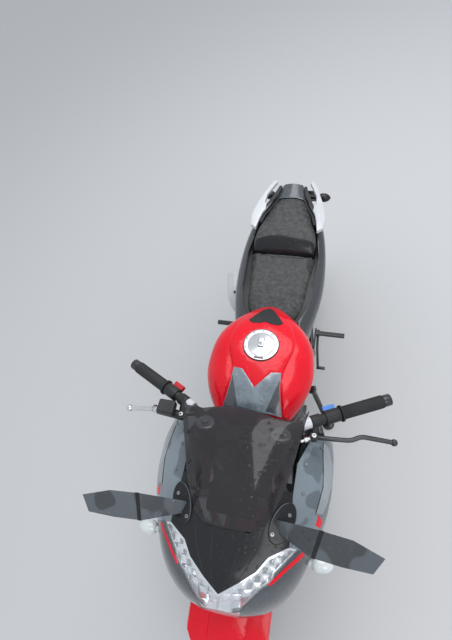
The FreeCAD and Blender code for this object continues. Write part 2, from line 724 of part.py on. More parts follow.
def frame():
    head, low, top = head_tube()
    middle = at_head(0, 0, (low + top) / 2)
    inner = size("plate_inner")
    plate_mid = inner + size("plate_thick") / 2
    pivot = Vector(size("pivot_x"), 0, size("pivot_z"))
    spar = tube([middle + Vector(0, 12, 0), Vector(322, 50, 772), Vector(255, 92, 732),
                 Vector(150, 124, 700), Vector(-30, 131, 640), Vector(-140, plate_mid, 500),
                 Vector(-175, plate_mid, 430)], size("spar_radius"), 0.35)
    brace = rod(Vector(250, 92, 720), at_head(0, 10, low + 20), 12)
    plate_outline = [(-240, 380), (-228, 440), (-165, 492), (-118, 470), (-96, 420), (-108, 340),
                     (-150, 305), (-215, 305)]
    plate = soft_edges(side_prism(plate_outline, inner, inner + size("plate_thick")), 9, Y_AXIS)
    post = side_prism([(150, 715), (186, 708), (182, size("tank_floor")), (156, size("tank_floor"))],
                      100, 112)
    left = fused(spar, brace, plate, post)
    lug_outline = [(-120, 345), (-104, 330), (size("stand_x") + 14, size("stand_z") + 20),
                   (size("stand_x") + 16, size("stand_z") - 14), (size("stand_x") - 16, size("stand_z") - 16),
                   (-160, 306)]
    lug = side_prism(lug_outline, inner, inner + size("plate_thick"))
    cross = rod(Vector(-125, -inner - 2, 467), Vector(-125, inner + 2, 467), 16)
    high_cross = rod(Vector(-62, -125, 612), Vector(-62, 125, 612), 15)
    stay = rod(at_head(20, 0, (low + top) / 2), Vector(580, 0, 850), 9)
    yoke = rod(Vector(580, -230, 850), Vector(580, 230, 850), 7)
    yoke = yoke.common(front_hull(size("panel"), -2))
    body = fused(head, left, mirrored(left), lug, cross, high_cross, stay, yoke)
    bore = Part.makeCylinder(size("stem_radius") + size("bearing_play"), top - low + 400,
                             Vector(0, 0, low - 200))
    body = body.cut(head_shape(bore))
    body = body.cut(rod(pivot + Vector(0, -160, 0), pivot + Vector(0, 160, 0), 9 + size("bearing_play")))
    start, axis, _ = stand_axis()
    pin = rod(start - axis * 28, start + axis * 13.5, size("stand_pin_radius"))
    boss = rod(start - axis * 30, start - axis * 12, 13)
    body = fused(body, boss, pin)
    add("frame", body)


def stand_axis():
    """Pivot, hinge axis and folding angle of the side stand."""
    start = Vector(size("stand_x"), size("stand_y"), size("stand_z"))
    flat = parked.multVec(Vector(size("stand_foot_x"), size("stand_foot_y"), 0))
    foot = parked.inverse().multVec(Vector(flat.x, flat.y, 0))
    down = foot - start
    back = Vector(-262, 12, -35)
    axis = down.cross(back).normalize()
    return start, axis, math.degrees(down.getAngle(back))


def side_stand():
    start, axis, _ = stand_axis()
    flat = parked.multVec(Vector(size("stand_foot_x"), size("stand_foot_y"), 0))
    foot = parked.inverse().multVec(Vector(flat.x, flat.y, 0))
    pad = Part.makeCylinder(size("stand_pad_radius"), size("stand_pad_thick"), foot, ground_up)
    pad = pad.makeFillet(2, [edge for edge in pad.Edges if edge.Curve.TypeId == "Part::GeomCircle"][:1])
    ankle = foot + ground_up * (size("stand_pad_thick") - 2)
    leg = rod(start, ankle, size("stand_leg_radius"))
    heel = Part.makeSphere(size("stand_leg_radius"), ankle + ground_up * 5)
    eye = rod(start - axis * 11.5, start + axis * 11.5, 17)
    bore = rod(start - axis * 40, start + axis * 40, size("stand_pin_radius") + size("bearing_play"))
    below = rod(foot - ground_up * 40, foot, 60)
    add("side_stand", fused(leg, heel, eye, pad).cut(bore).cut(below))


def subframe():
    rail = tube([Vector(-48, 112, 618), Vector(-190, 96, 710), Vector(-420, 88, 719),
                 Vector(-610, 62, 719)], size("rail_radius"), 0.35)
    stay = tube([Vector(-185, 139, 470), Vector(-300, 114, 560), Vector(-470, 80, 715)],
                size("rail_radius"), 0.35)
    left = fused(rail, stay)
    cross = [rod(Vector(x, -half, z), Vector(x, half, z), 8)
             for x, half, z in ((-200, 95, 708), (-400, 89, 716), (-590, 64, 716))]
    plate = plan_prism([(-105, -84), (-105, 84), (-200, 100), (-420, 94), (-610, 60), (-610, -60),
                        (-420, -94), (-200, -100)], 722, size("seat_floor"))
    post = rod(Vector(-520, 82, 722), Vector(-520, 118, 722), 8)
    pillar = rod(Vector(-520, 118, 716), Vector(-520, 118, 838), 7)
    peg_arm = tube([Vector(-430, 80, 718), Vector(-430, 80, 672), Vector(-430, 140, 500)], 8)
    body = fused(left, mirrored(left), plate, *cross)
    extra = fused(post, pillar, peg_arm)
    body = fused(body, extra, mirrored(extra))
    add("subframe", body.cut(made("frame")))


def swingarm():
    inner = size("arm_inner")
    px, pz = size("pivot_x"), size("pivot_z")
    outline = [(px + 18, pz - 20), (px + 18, pz + 20), (px - 60, pz + 30), (rear_axle_x + 60, rear_axle.z + 22),
               (rear_axle_x - 42, rear_axle.z + 20), (rear_axle_x - 46, rear_axle.z - 20),
               (rear_axle_x + 60, rear_axle.z - 26), (px - 60, pz - 30)]
    arm = soft_edges(side_prism(outline, inner, inner + size("arm_thick")), 8, Y_AXIS)
    brace = Part.makeBox(78, inner * 2, 38, Vector(-330, -inner, 334))
    pivot = rod(Vector(px, -size("plate_inner"), pz), Vector(px, size("plate_inner"), pz), 19)
    body = fused(arm, mirrored(arm), brace, pivot)
    shaft = rod(Vector(px, -160, pz), Vector(px, 160, pz), 9 + size("bearing_play"))
    axle = rod(rear_axle + Vector(0, -160, 0), rear_axle + Vector(0, 160, 0),
               size("rear_axle_radius") + size("bearing_play"))
    body = body.cut(shaft).cut(axle)
    outer = inner + size("arm_thick")
    for side in (1, -1):
        mouth = Vector(size("spool_x"), side * (outer + 1), rear_axle.z - 2)
        body = body.cut(rod(mouth, mouth - Vector(0, side * (size("spool_depth") + 1), 0),
                            size("spool_radius")))
    bolt = rod(Vector(px, -152, pz), Vector(px, 152, pz), 9)
    heads = [rod(Vector(px, low, pz), Vector(px, high, pz), 14) for low, high in ((145, 153), (-153, -145))]
    add("swingarm", Part.makeCompound([body, fused(bolt, *heads)]))


def rear_axle_piece():
    outer = size("arm_inner") + size("arm_thick")
    spindle = rod(rear_axle + Vector(0, -outer - 14, 0), rear_axle + Vector(0, outer + 14, 0),
                  size("rear_axle_radius"))
    nuts = [rod(rear_axle + Vector(0, low, 0), rear_axle + Vector(0, high, 0), 16)
            for low, high in ((outer, outer + 10), (-outer - 10, -outer))]
    spacers = [rod(rear_axle + Vector(0, low, 0), rear_axle + Vector(0, high, 0), 15)
               for low, high in ((92.5, size("arm_inner")), (-size("arm_inner"), -82))]
    add("rear_axle", fused(spindle, *(nuts + spacers)))


def rear_shock():
    """A coil spring round its damper, from the swingarm's brace up to the frame."""
    low = Vector(-280, 0, 380)
    top = Vector(-62, 0, 612)
    way = (top - low).normalize()
    length = (top - low).Length
    coils = 8
    first, last = 34, length - 78
    step = (last - first) / coils
    corners = [(0, 0), (12, 0), (12, first - 10), (30, first - 10), (30, first)]
    for number in range(coils):
        foot = first + number * step
        corners += [(21, foot + step * 0.1), (29, foot + step * 0.35), (29, foot + step * 0.65), (21, foot + step * 0.9)]
    corners += [(30, last), (30, last + 10), (22, last + 10), (22, last + 34), (10, last + 34), (10, length - 26), (0, length - 26)]
    profile = polygon([Vector(radius, 0, height) for radius, height in corners])
    body = profile.revolve(ORIGIN, Z_AXIS, 360)
    body.Placement = Placement(low, Rotation(Z_AXIS, way))
    eye = rod(top + Vector(0, -17, 0), top + Vector(0, 17, 0), 27)
    neck = rod(top - way * 40, top, 10)
    bore = rod(top + Vector(0, -60, 0), top + Vector(0, 60, 0), 15 + size("bearing_play"))
    brace = Part.makeBox(78, 200, 38, Vector(-330, -100, 334))
    add("rear_shock", biggest(fused(body, eye, neck).cut(bore).cut(brace)))


def engine():
    half = size("case_half_width")
    floor, roof = size("case_floor"), size("case_roof")
    case = side_prism([(-140, 300), (-140, 405), (-110, roof), (196, roof), (212, 380), (204, 290),
                       (150, floor), (-80, floor)], -half, half)
    case = soft_edges(case, 14, Y_AXIS)
    case = case.cut(Part.makeBox(120, 60, 300, Vector(-190, 68, 200)))
    barrel = side_prism([(52, roof - 4), (192, roof - 4), (258, 655), (128, 700)], -84, 84)
    barrel = soft_edges(barrel, 10, Y_AXIS)
    head = side_prism([(112, 640), (252, 596), (264, 660), (130, 705)], -92, 92)
    head = soft_edges(head, 8, Y_AXIS)
    clutch = rod(Vector(-10, -half, 338), Vector(-10, -half - 30, 338), 76)
    generator = rod(Vector(84, half, 330), Vector(84, half + 32, 330), 64)
    gear_shaft = rod(Vector(size("gearbox_x"), 60, size("gearbox_z")),
                     Vector(size("gearbox_x"), size("chain_y") + 8, size("gearbox_z")), 12)
    sprocket = toothed_wheel(size("front_teeth"), size("sprocket_thick"), 8)
    sprocket.translate(Vector(size("gearbox_x"), size("chain_y"), size("gearbox_z")))
    lug = rod(Vector(-124, -size("plate_inner"), 412), Vector(-124, size("plate_inner"), 412), 13)
    add("engine", fused(case, barrel, head, clutch, generator, gear_shaft, sprocket, lug))


def radiator():
    core = Part.makeBox(30, 236, 214, Vector(330, -118, 478))
    tanks = [Part.makeBox(36, 20, 222, Vector(327, y, 474)) for y in (-128, 108)]
    body = fused(core, *tanks)
    arm = rod(Vector(345, 118, 690), Vector(252, 92, 752), 7)
    arms = fused(arm, mirrored(arm))
    frame_piece = made("frame")
    add("radiator", fused(body, arms).cut(frame_piece))


def exhaust_pipe():
    headers = []
    for side in (1, -1):
        headers.append(tube([Vector(240, side * 44, 612), Vector(298, side * 44, 575),
                             Vector(300, side * 34 - 8, 330), Vector(262, side * 12 - 40, 214),
                             Vector(205, -70, 214)], size("header_radius"), 0.4))
    main = tube([Vector(238, -58, 214), Vector(60, -92, 212), Vector(-130, -126, 214),
                 Vector(-240, -172, 270), Vector(-330, -172, 400), Vector(-352, -192, 446)],
                size("pipe_radius"), 0.4)
    body = fused(headers[0], headers[1], main)
    engine_piece = made("engine")
    add("exhaust_pipe", body.cut(engine_piece))


def silencer():
    """A short rounded box on the right, from the pipe's end back and outwards."""
    stations = [
        # x, y, z, width, height, corner
        (-340, -190, 440, 52, 52, 24),
        (-372, -202, 452, 84, 92, 30),
        (-440, -214, 470, 96, 106, 32),
        (-482, -222, 484, 92, 98, 30),
    ]
    slices = []
    for x, y, z, width, height, corner in stations:
        slices.append(rounded_slice(x, y, z, width, height, corner))
    shell = Part.makeLoft(slices, True, False)
    tail = rod(Vector(-476, -222, 484), Vector(-496, -224, 488), 17)
    tail_bore = rod(Vector(-470, -222, 484), Vector(-500, -224, 488), 13)
    hanger = rod(Vector(-430, -150, 515), Vector(-430, -205, 500), 8)
    pipe_piece = made("exhaust_pipe")
    sub_piece = made("subframe")
    add("silencer", fused(shell, tail, hanger).cut(tail_bore).cut(pipe_piece).cut(sub_piece))


def rounded_slice(x, y, z, width, height, corner):
    """A rounded rectangle across the bike at one x."""
    half_w, half_h = width / 2.0, height / 2.0
    arc = corner * (1 - math.sqrt(0.5))
    edges = []
    rounds = [(1, 1), (-1, 1), (-1, -1), (1, -1)]
    ends = []
    for sy, sz in rounds:
        side_point = Vector(x, y + sy * half_w, z + sz * (half_h - corner))
        top_point = Vector(x, y + sy * (half_w - corner), z + sz * half_h)
        middle = Vector(x, y + sy * (half_w - arc), z + sz * (half_h - arc))
        first, last = (side_point, top_point) if sy * sz > 0 else (top_point, side_point)
        ends.append((first, middle, last))
    for number, (first, middle, last) in enumerate(ends):
        edges.append(Part.Arc(first, middle, last).toShape())
        following = ends[(number + 1) % 4][0]
        edges.append(Part.LineSegment(last, following).toShape())
    return Part.Wire(edges)


# Body shells

def shell_slice(x, top, shoulder_z, shoulder_y, mid_z, mid_y, bottom_z, bottom_y, inset, floor):
    """One closed slice of a body: a crowned top, two bulged sides and a flat bottom."""
    top -= inset
    shoulder = Vector(x, shoulder_y - inset * 0.6, shoulder_z - inset * 0.8)
    middle = Vector(x, mid_y - inset, mid_z)
    bottom = Vector(x, bottom_y - inset, bottom_z + floor)

    def bulge(first, last, share):
        chord = last - first
        out = Vector(0, -chord.z, chord.y) * share
        return (first + last) / 2 + out

    def flip(point):
        return Vector(point.x, -point.y, point.z)

    high = bulge(shoulder, middle, 0.12)
    low = bulge(middle, bottom, 0.05)
    edges = [
        Part.Arc(flip(shoulder), Vector(x, 0, top), shoulder).toShape(),
        Part.Arc(shoulder, high, middle).toShape(),
        Part.Arc(middle, low, bottom).toShape(),
        Part.LineSegment(bottom, flip(bottom)).toShape(),
        Part.Arc(flip(bottom), flip(low), flip(middle)).toShape(),
        Part.Arc(flip(middle), flip(high), flip(shoulder)).toShape(),
    ]
    return Part.Wire(edges)


def body_hull(stations, inset=0.0, floor=0.0, ruled=False):
    """Loft a body through stations of (x, top, shoulder z, y, middle z, y, bottom z, y)."""
    return Part.makeLoft([shell_slice(*(row + (inset, floor))) for row in stations], True, ruled)


FAIRING = [
    # x, top, shoulder z, shoulder y, middle z, middle y, bottom z, bottom y
    (757, 812, 800, 28, 735, 46, 655, 40),
    (738, 858, 840, 50, 752, 104, 640, 84),
    (700, 893, 868, 82, 770, 150, 625, 110),
    (640, 912, 888, 116, 792, 186, 600, 130),
    (560, 930, 902, 138, 815, 214, 520, 165),
    (450, 950, 908, 146, 830, 236, 330, 178),
    (350, 955, 900, 160, 826, 236, 215, 150),
    (200, 930, 860, 150, 640, 222, 165, 125),
    (20, 900, 800, 140, 480, 200, 165, 115),
]
hull_cache = {}


def front_hull(inset, floor=0.0):
    """The whole fairing body, or the space that its inner faces leave."""
    key = (inset, floor)
    if key not in hull_cache:
        stations = FAIRING
        if inset:
            first = FAIRING[0]
            stations = [(first[0] - inset,) + first[1:]] + FAIRING[1:-1]
            last = FAIRING[-1]
            stations.append((last[0] - 5,) + last[1:])
        hull_cache[key] = body_hull(stations, inset, floor)
    return hull_cache[key]


V_LENS = [(592, 147), (592, 168), (652, 121), (667, 118), (688, 94), (738, 52), (741, 38), (768, 10),
          (768, -10), (741, -38), (738, -52), (688, -94), (667, -118), (652, -121), (592, -168),
          (592, -147), (623, -101), (656, -79), (687, -42), (717, 0), (687, 42), (656, 79), (623, 101)]
CENTRE_LENS = [(-50, 800), (-52, 830), (52, 830), (50, 800), (42, 760), (18, 713), (-18, 713), (-42, 760)]
BEAK_INNER = [(717, 0), (687, 42), (656, 79), (623, 101), (592, 147), (476, 141), (476, 112),
              (545, 76), (584, 52), (584, -52), (545, -76), (476, -112), (476, -141), (592, -147),
              (623, -101), (656, -79), (687, -42)]
NOSE_SPLIT = 745
NOSE_BACK = 592


def grown_prism(corners, start, way, offset):
    """Extrude an outline of points, each edge moved outwards by offset."""
    outline = Part.makePolygon(corners + [corners[0]])
    if offset:
        outline = outline.makeOffset2D(offset, join=2)
    face = Part.Face(outline)
    face.translate(start)
    return face.extrude(way)


def headlight_zone(offset=0):
    """The room of the lamp: a V seen from above and a wedge seen from ahead."""
    vee = grown_prism([Vector(x, y, 0) for x, y in V_LENS], Vector(0, 0, 772), Vector(0, 0, 188), offset)
    wedge = grown_prism([Vector(0, y, z) for y, z in CENTRE_LENS], Vector(700, 0, 0), Vector(80, 0, 0), offset)
    return fused(vee, wedge)


def lamp_layer(near, far, zone):
    """What lies between two depths behind the outer surface, inside the lamp's room."""
    layers = []
    for depth in (near, far):
        layer = front_hull(0).copy()
        layer.translate(Vector(-depth, 0, -depth))
        layers.append(layer)
    return layers[0].cut(layers[1]).common(zone)


def nose_panels():
    skin = front_hull(0).cut(front_hull(size("panel"), -2))
    zone = headlight_zone()
    beak_zone = plan_prism(BEAK_INNER, 840, 990)
    add("headlight", biggest(lamp_layer(0, size("lens_thick"), zone)))
    near = size("lens_thick") + size("seat_play")
    bowl = lamp_layer(near, size("lamp_depth"), zone)
    hollow = lamp_layer(near, size("lamp_depth") - size("bowl_wall"), headlight_zone(-size("bowl_wall")))
    add("lamp_bowl", biggest(bowl.cut(hollow)))
    add("beak", biggest(skin.common(beak_zone).cut(screen_shape())))
    upper = side_prism([(NOSE_BACK, NOSE_SPLIT), (790, NOSE_SPLIT), (790, 960), (NOSE_BACK, 960)], -300, 300)
    lower = side_prism([(NOSE_BACK, 640), (660, 655), (790, 655), (790, NOSE_SPLIT),
                        (NOSE_BACK, NOSE_SPLIT)], -300, 300)
    cheeks = skin.common(upper).cut(zone).cut(plan_prism(BEAK_INNER, 800, 990))
    add("cheeks", sizeable(cheeks))
    add("nose_cowl", sizeable(skin.common(lower).cut(zone)))


def biggest(shape):
    return max(shape.Solids, key=lambda solid: solid.Volume)


def sizeable(shape, least=2000.0):
    """Drop the slivers that a cut leaves."""
    return Part.makeCompound([solid for solid in shape.Solids if solid.Volume > least])


SPLIT_LINE = [(NOSE_BACK, 700), (430, 640), (330, 690)]


def side_panels():
    skin = front_hull(0).cut(front_hull(size("panel"), -2))
    plan = plan_prism([(300, 180), (326, 172), (404, 143), (473, 141), (NOSE_BACK, 147),
                       (NOSE_BACK, 300), (300, 300)], 500, 990)
    cowl_zone = side_prism([(NOSE_BACK, 980)] + SPLIT_LINE + [(302, 800), (326, 980)], -300, 300)
    cowl = skin.common(cowl_zone).common(plan)
    add("side_cowls", both(biggest(cowl.cut(made("frame")))))
    low_zone = side_prism(SPLIT_LINE + [(200, 560), (112, 430), (60, 270), (90, 212), (345, 212),
                                        (352, 300), (430, 430), (512, 545), (NOSE_BACK, 640)], 60, 300)
    add("fairings", both(biggest(skin.common(low_zone))))


def belly_pan():
    pan = front_hull(0).cut(front_hull(size("panel"), size("panel")))
    zone = side_prism([(30, 212), (350, 212), (350, 150), (30, 150)], -300, 300)
    add("belly_pan", biggest(pan.common(zone)))


SCREEN = [
    # x, centre z, edge z, half width
    (585, 926.5, 917, 70),
    (545, 964, 930, 95),
    (480, 1012, 954, 121),
    (400, 1061, 1001, 140),
    (318, 1097, 1060, 158),
]


def screen_shape():
    slices = []
    for x, centre_z, edge_z, half in SCREEN:
        thick = size("screen_thick")
        left, right = Vector(x, half, edge_z), Vector(x, -half, edge_z)
        low_left, low_right = Vector(x, half, edge_z - thick), Vector(x, -half, edge_z - thick)
        slices.append(Part.Wire([
            Part.Arc(right, Vector(x, 0, centre_z), left).toShape(),
            Part.LineSegment(left, low_left).toShape(),
            Part.Arc(low_left, Vector(x, 0, centre_z - thick), low_right).toShape(),
            Part.LineSegment(low_right, right).toShape(),
        ]))
    sheet_shape = Part.makeLoft(slices, True, False)
    outline = [(590, 0), (580, 60), (545, 110), (470, 140), (400, 160), (325, 165), (316, 158), (345, 135),
               (352, 90), (342, 0), (352, -90), (345, -135), (316, -158), (325, -165), (400, -160),
               (470, -140), (545, -110), (580, -60)]
    return biggest(sheet_shape.common(plan_prism(outline, 850, 1120)))


def dash():
    pod = rounded_box(Vector(0, 0, 0), 46, 120, 74, 9)
    pod.rotate(ORIGIN, Y_AXIS, 40)
    pod.translate(Vector(518, 0, 915))
    foot = Part.makeBox(24, 24, 60, Vector(508, -12, 835))
    frame_piece = made("frame")
    add("dash", fused(pod, foot).cut(frame_piece))


TANK = [
    # x, top, crease y, crease z, step, widest y, widest z, foot y
    (277, 890, 86, 876, 6, 106, 850, 84),
    (246, 904, 80, 891, 8, 127, 856, 95),
    (206, 917, 73, 908, 4, 145, 860, 108),
    (165, 927, 71, 919, -5, 156, 862, 116),
    (100, 935, 88, 927, -7, 158, 862, 116),
    (30, 932, 84, 922, -5, 142, 858, 106),
    (-20, 918, 62, 907, -3, 110, 850, 84),
    (-62, 892, 38, 884, -2, 70, 842, 52),
    (-92, 866, 18, 861, -1, 34, 834, 22),
]
TANK_COVER = [(216, 0), (168, 42), (164, 69), (206, 71), (246, 78), (280, 87), (280, -87), (246, -78),
              (206, -71), (164, -69), (168, -42)]


def tank_slice(x, top, crease_y, crease_z, step, widest_y, widest_z, foot_y):
    """A flat crown between two creases, a bulging lobe on each side and a flat floor."""
    crease = Vector(x, crease_y, crease_z)
    ledge = Vector(x, crease_y + 5, crease_z + step)
    widest = Vector(x, widest_y, widest_z)
    foot = Vector(x, foot_y, size("tank_floor"))
    lobe_out = Vector(0, ledge.z - widest.z, widest.y - ledge.y) * 0.17
    side_out = Vector(0, widest.z - foot.z, 0) * 0.05
    lobe = (ledge + widest) / 2 + lobe_out
    side = (widest + foot) / 2 + side_out

    def flip(point):
        return Vector(point.x, -point.y, point.z)

    return Part.Wire([
        Part.Arc(flip(crease), Vector(x, 0, top), crease).toShape(),
        Part.LineSegment(crease, ledge).toShape(),
        Part.Arc(ledge, lobe, widest).toShape(),
        Part.Arc(widest, side, foot).toShape(),
        Part.LineSegment(foot, flip(foot)).toShape(),
        Part.Arc(flip(foot), flip(side), flip(widest)).toShape(),
        Part.Arc(flip(widest), flip(lobe), flip(ledge)).toShape(),
        Part.LineSegment(flip(ledge), flip(crease)).toShape(),
    ])


def tank_hull():
    if "tank" not in hull_cache:
        hull_cache["tank"] = Part.makeLoft([tank_slice(*row) for row in TANK], True, False)
    return hull_cache["tank"]


def cover_layer(depth):
    """The top layer of the tank that its grey cover takes."""
    below = tank_hull().copy()
    below.translate(Vector(0, 0, -depth))
    return tank_hull().common(plan_prism(TANK_COVER, 830, 960)).cut(below)


def tank():
    centre = Vector(size("cap_x"), 0, 0)
    top = size("cap_z")
    recess = Part.makeCylinder(size("cap_ring_radius"), 60, centre + Vector(0, 0, top - 9))
    neck = Part.makeCylinder(size("filler_radius"), size("filler_depth"),
                             centre + Vector(0, 0, top - 9 - size("filler_depth") + 1))
    seat_for_cover = cover_layer(size("panel") + size("seat_play"))
    add("fuel_tank", biggest(tank_hull().cut(recess).cut(neck).cut(seat_for_cover)))
    add("tank_cover", biggest(cover_layer(size("panel"))))


def cap_ring():
    top = size("cap_z")
    centre = Vector(size("cap_x"), 0, 0)
    inner = size("cap_radius") + size("cap_gap")
    ring = Part.makeCylinder(size("cap_ring_radius") - 0.2, 9, centre + Vector(0, 0, top - 9))
    well = Part.makeCylinder(inner, 8, centre + Vector(0, 0, top - size("cap_thick") - 0.4))
    hole = Part.makeCylinder(size("filler_radius"), 20, centre + Vector(0, 0, top - 12))
    ring = ring.cut(well).cut(hole)
    hinge_x = size("cap_x") + inner + 4
    ears = [rod(Vector(hinge_x, low, top + 3.2), Vector(hinge_x, high, top + 3.2), 2.7)
            for low, high in ((8.5, 14), (-14, -8.5))]
    feet = [Part.makeBox(7, 5.5, 4, Vector(hinge_x - 3.5, low, top - 1.5)) for low in (8.5, -14)]
    pin = rod(Vector(hinge_x, -14, top + 3.2), Vector(hinge_x, 14, top + 3.2), 1.5)
    clear = Part.makeCylinder(inner, 30, centre + Vector(0, 0, top - size("cap_thick") - 0.4))
    add("fuel_cap_ring", fused(ring, *(ears + feet)).cut(clear).fuse(pin))


def cap_lid():
    top = size("cap_z")
    centre = Vector(size("cap_x"), 0, 0)
    lid = Part.makeCone(size("cap_radius") - 1.6, size("cap_radius"), size("cap_thick"),
                        centre + Vector(0, 0, top - size("cap_thick")))
    flap = rounded_box(centre + Vector(-6, 0, top + 1.5), 30, 17, 7, 2.5)
    inner = size("cap_radius") + size("cap_gap")
    hinge_x = size("cap_x") + inner + 4
    knuckle = rod(Vector(hinge_x, -8, top + 3.2), Vector(hinge_x, 8, top + 3.2), 2.7)
    strap = Part.makeBox(14, 16, 3, Vector(hinge_x - 15, -8, top + 0.6))
    tab = Part.makeBox(8, 16, 2, Vector(hinge_x - 15, -8, top - 0.6))
    bore = rod(Vector(hinge_x, -20, top + 3.2), Vector(hinge_x, 20, top + 3.2),
               1.5 + size("bearing_play"))
    add("fuel_cap", fused(lid, flap, knuckle, strap, tab).cut(bore))


RIDER_SEAT = [
    (-95, 828, 822, 50, 790, 74, 735, 66),
    (-150, 802, 797, 82, 772, 106, 735, 92),
    (-230, 788, 784, 100, 764, 122, 735, 100),
    (-320, 794, 789, 108, 768, 128, 735, 100),
    (-377, 812, 806, 108, 776, 128, 735, 98),
]
PILLION_SEAT = [
    (-378, 812, 805, 104, 776, 122, 735, 94),
    (-425, 852, 842, 102, 796, 122, 735, 90),
    (-520, 856, 848, 88, 806, 104, 735, 76),
    (-600, 850, 842, 64, 806, 78, 735, 60),
    (-645, 840, 834, 40, 806, 50, 735, 36),
]
TAIL = [
    # x, top, shoulder z, shoulder y, middle z, middle y, bottom z, bottom y
    (-12, 810, 800, 84, 756, 116, 676, 112),
    (-110, 800, 790, 104, 748, 136, 654, 124),
    (-200, 796, 786, 122, 742, 154, 640, 120),
    (-350, 808, 798, 128, 762, 160, 668, 112),
    (-450, 822, 812, 124, 782, 150, 696, 98),
    (-600, 840, 828, 86, 800, 110, 742, 70),
    (-706, 852, 846, 34, 826, 44, 796, 30),
]


def seats():
    add("rider_seat", body_hull(RIDER_SEAT))
    add("pillion_seat", body_hull(PILLION_SEAT))


def tail_panels():
    outer = body_hull(TAIL)
    inner_rows = [(row[0] + 3,) + row[1:] if row is TAIL[0] else row for row in TAIL]
    inner = body_hull(inner_rows, size("panel"), -3)
    skin = outer.cut(inner)
    left_zone = plan_prism([(0, 100), (-95, 90), (-150, 112), (-230, 127), (-378, 131), (-520, 108),
                            (-612, 80), (-612, 220), (0, 220)], 560, 900)
    side = skin.common(left_zone).cut(tank_hull()).cut(made("subframe"))
    add("tail_covers", both(biggest(side)))
    top_zone = plan_prism([(-612, -79), (-612, 79), (-720, 60), (-720, -60)], 700, 900)
    tip = skin.common(top_zone)
    wedge = plan_prism([(-646, -50), (-646, 50), (-705, 38), (-705, -38)], 790, 900).common(outer)
    add("tail_top", biggest(fused(tip, wedge).cut(body_hull(PILLION_SEAT))))
    lamp = rounded_box(Vector(-712, 0, 822), 16, 74, 34, 6)
    add("tail_light", lamp.cut(outer))


def grab_rails():
    outline = [(-455, 114), (-470, 134), (-525, 139), (-600, 124), (-690, 94), (-724, 76), (-716, 66),
               (-690, 77), (-640, 96), (-592, 100), (-586, 90), (-600, 84), (-655, 64), (-690, 54),
               (-690, 44), (-640, 54), (-600, 70), (-540, 100), (-500, 108)]
    fin = plan_prism(outline, 838, 853)
    fin = fin.cut(body_hull(PILLION_SEAT))
    add("grab_rails", both(biggest(fin.cut(body_hull(TAIL)))))


def rear_mudguard():
    arm = side_prism([(-560, 712), (-650, 728), (-705, 732), (-850, 668), (-942, 602), (-930, 590),
                      (-842, 652), (-700, 714), (-650, 710), (-560, 692)], -52, 52)
    plate = Part.makeBox(4, 180, 110, Vector(-2, -90, -55))
    plate.rotate(ORIGIN, Y_AXIS, 24)
    plate.translate(Vector(-950, 0, 575))
    tray = fused(arm, plate)
    sub_piece = made("subframe")
    cutters = [sub_piece, body_hull(TAIL)]
    for cutter in cutters:
        tray = tray.cut(cutter)
    add("rear_mudguard", biggest(tray))


def egg_pod(root):
    """An egg that lies across the bike, blunt at its root and round at its tip."""
    edges = [
        Part.LineSegment(Vector(0, 0, 0), Vector(12, 0, 0)).toShape(),
        Part.Arc(Vector(12, 0, 0), Vector(17.5, 8, 0), Vector(19, 20, 0)).toShape(),
        Part.Arc(Vector(19, 20, 0), Vector(14.5, 40, 0), Vector(3, 51, 0)).toShape(),
        Part.LineSegment(Vector(3, 51, 0), Vector(0, 51, 0)).toShape(),
        Part.LineSegment(Vector(0, 51, 0), Vector(0, 0, 0)).toShape(),
    ]
    egg = Part.Face(Part.Wire(edges)).revolve(ORIGIN, Y_AXIS, 360)
    egg.translate(root)
    return egg


def indicators():
    """Four turn signals on short stalks, two in front and two behind."""
    lamps = []
    for x, root_y, end_y, z, blocker in ((607, 170, 257, 798, front_hull(0)), (-830, 45, 150, 676, None)):
        stalk = rod(Vector(x, root_y, z), Vector(x, end_y - 40, z), 8)
        pod = egg_pod(Vector(x, end_y - 52, z))
        lamp = fused(stalk, pod)
        if blocker is None:
            tray = made("rear_mudguard")
            lamp = lamp.cut(tray)
        else:
            lamp = lamp.cut(blocker)
        lamps.append(biggest(lamp))
    add("indicators", Part.makeCompound([both(lamp) for lamp in lamps]))


MIRROR_BLADE = [
    # x, y, z, slant, chord
    (582, 200, 985, 6, 52),
    (588, 268, 989, 8, 51),
    (600, 330, 996, 10, 31),
]
MIRROR_ARM = [
    # x, y, z, slant, chord
    (557, 100, 882, -2, 27),
    (557, 118, 920, -2, 27),
    (582, 200, 985, 6, 52),
]
# Corners of a slice behind or ahead of its point and above it, as shares of the chord
BLADE_CORNERS = [(-0.46, 0.46), (0.54, -0.19), (0.46, -0.38), (-0.38, -0.58)]
ARM_CORNERS = [(-0.46, 0.46), (0.54, -0.19), (0.48, -0.34), (-0.50, 0.20)]


def mirror_slices(rows, corners):
    slices = []
    for x, y, z, slant, chord in rows:
        points = [Vector(x + ahead * chord, y - 2 * slant * ahead, z + above * chord) for ahead, above in corners]
        slices.append(Part.makePolygon(points + [points[0]]))
    return Part.makeLoft(slices, True, True)


def mirrors():
    """Flat blades on a cranked arm, each on an oval gasket that follows the panel below."""
    oval = Part.Face(Part.Wire(Part.Ellipse(Vector(546, 124, 840), 48, 23).toShape()))
    oval.rotate(Vector(546, 124, 840), Z_AXIS, -20)
    gasket = oval.extrude(Vector(0, 0, 120)).common(front_hull(-6))
    whole_mirror = fused(mirror_slices(MIRROR_ARM, ARM_CORNERS), mirror_slices(MIRROR_BLADE, BLADE_CORNERS),
                         gasket)
    add("mirrors", both(biggest(whole_mirror.cut(front_hull(0)))))


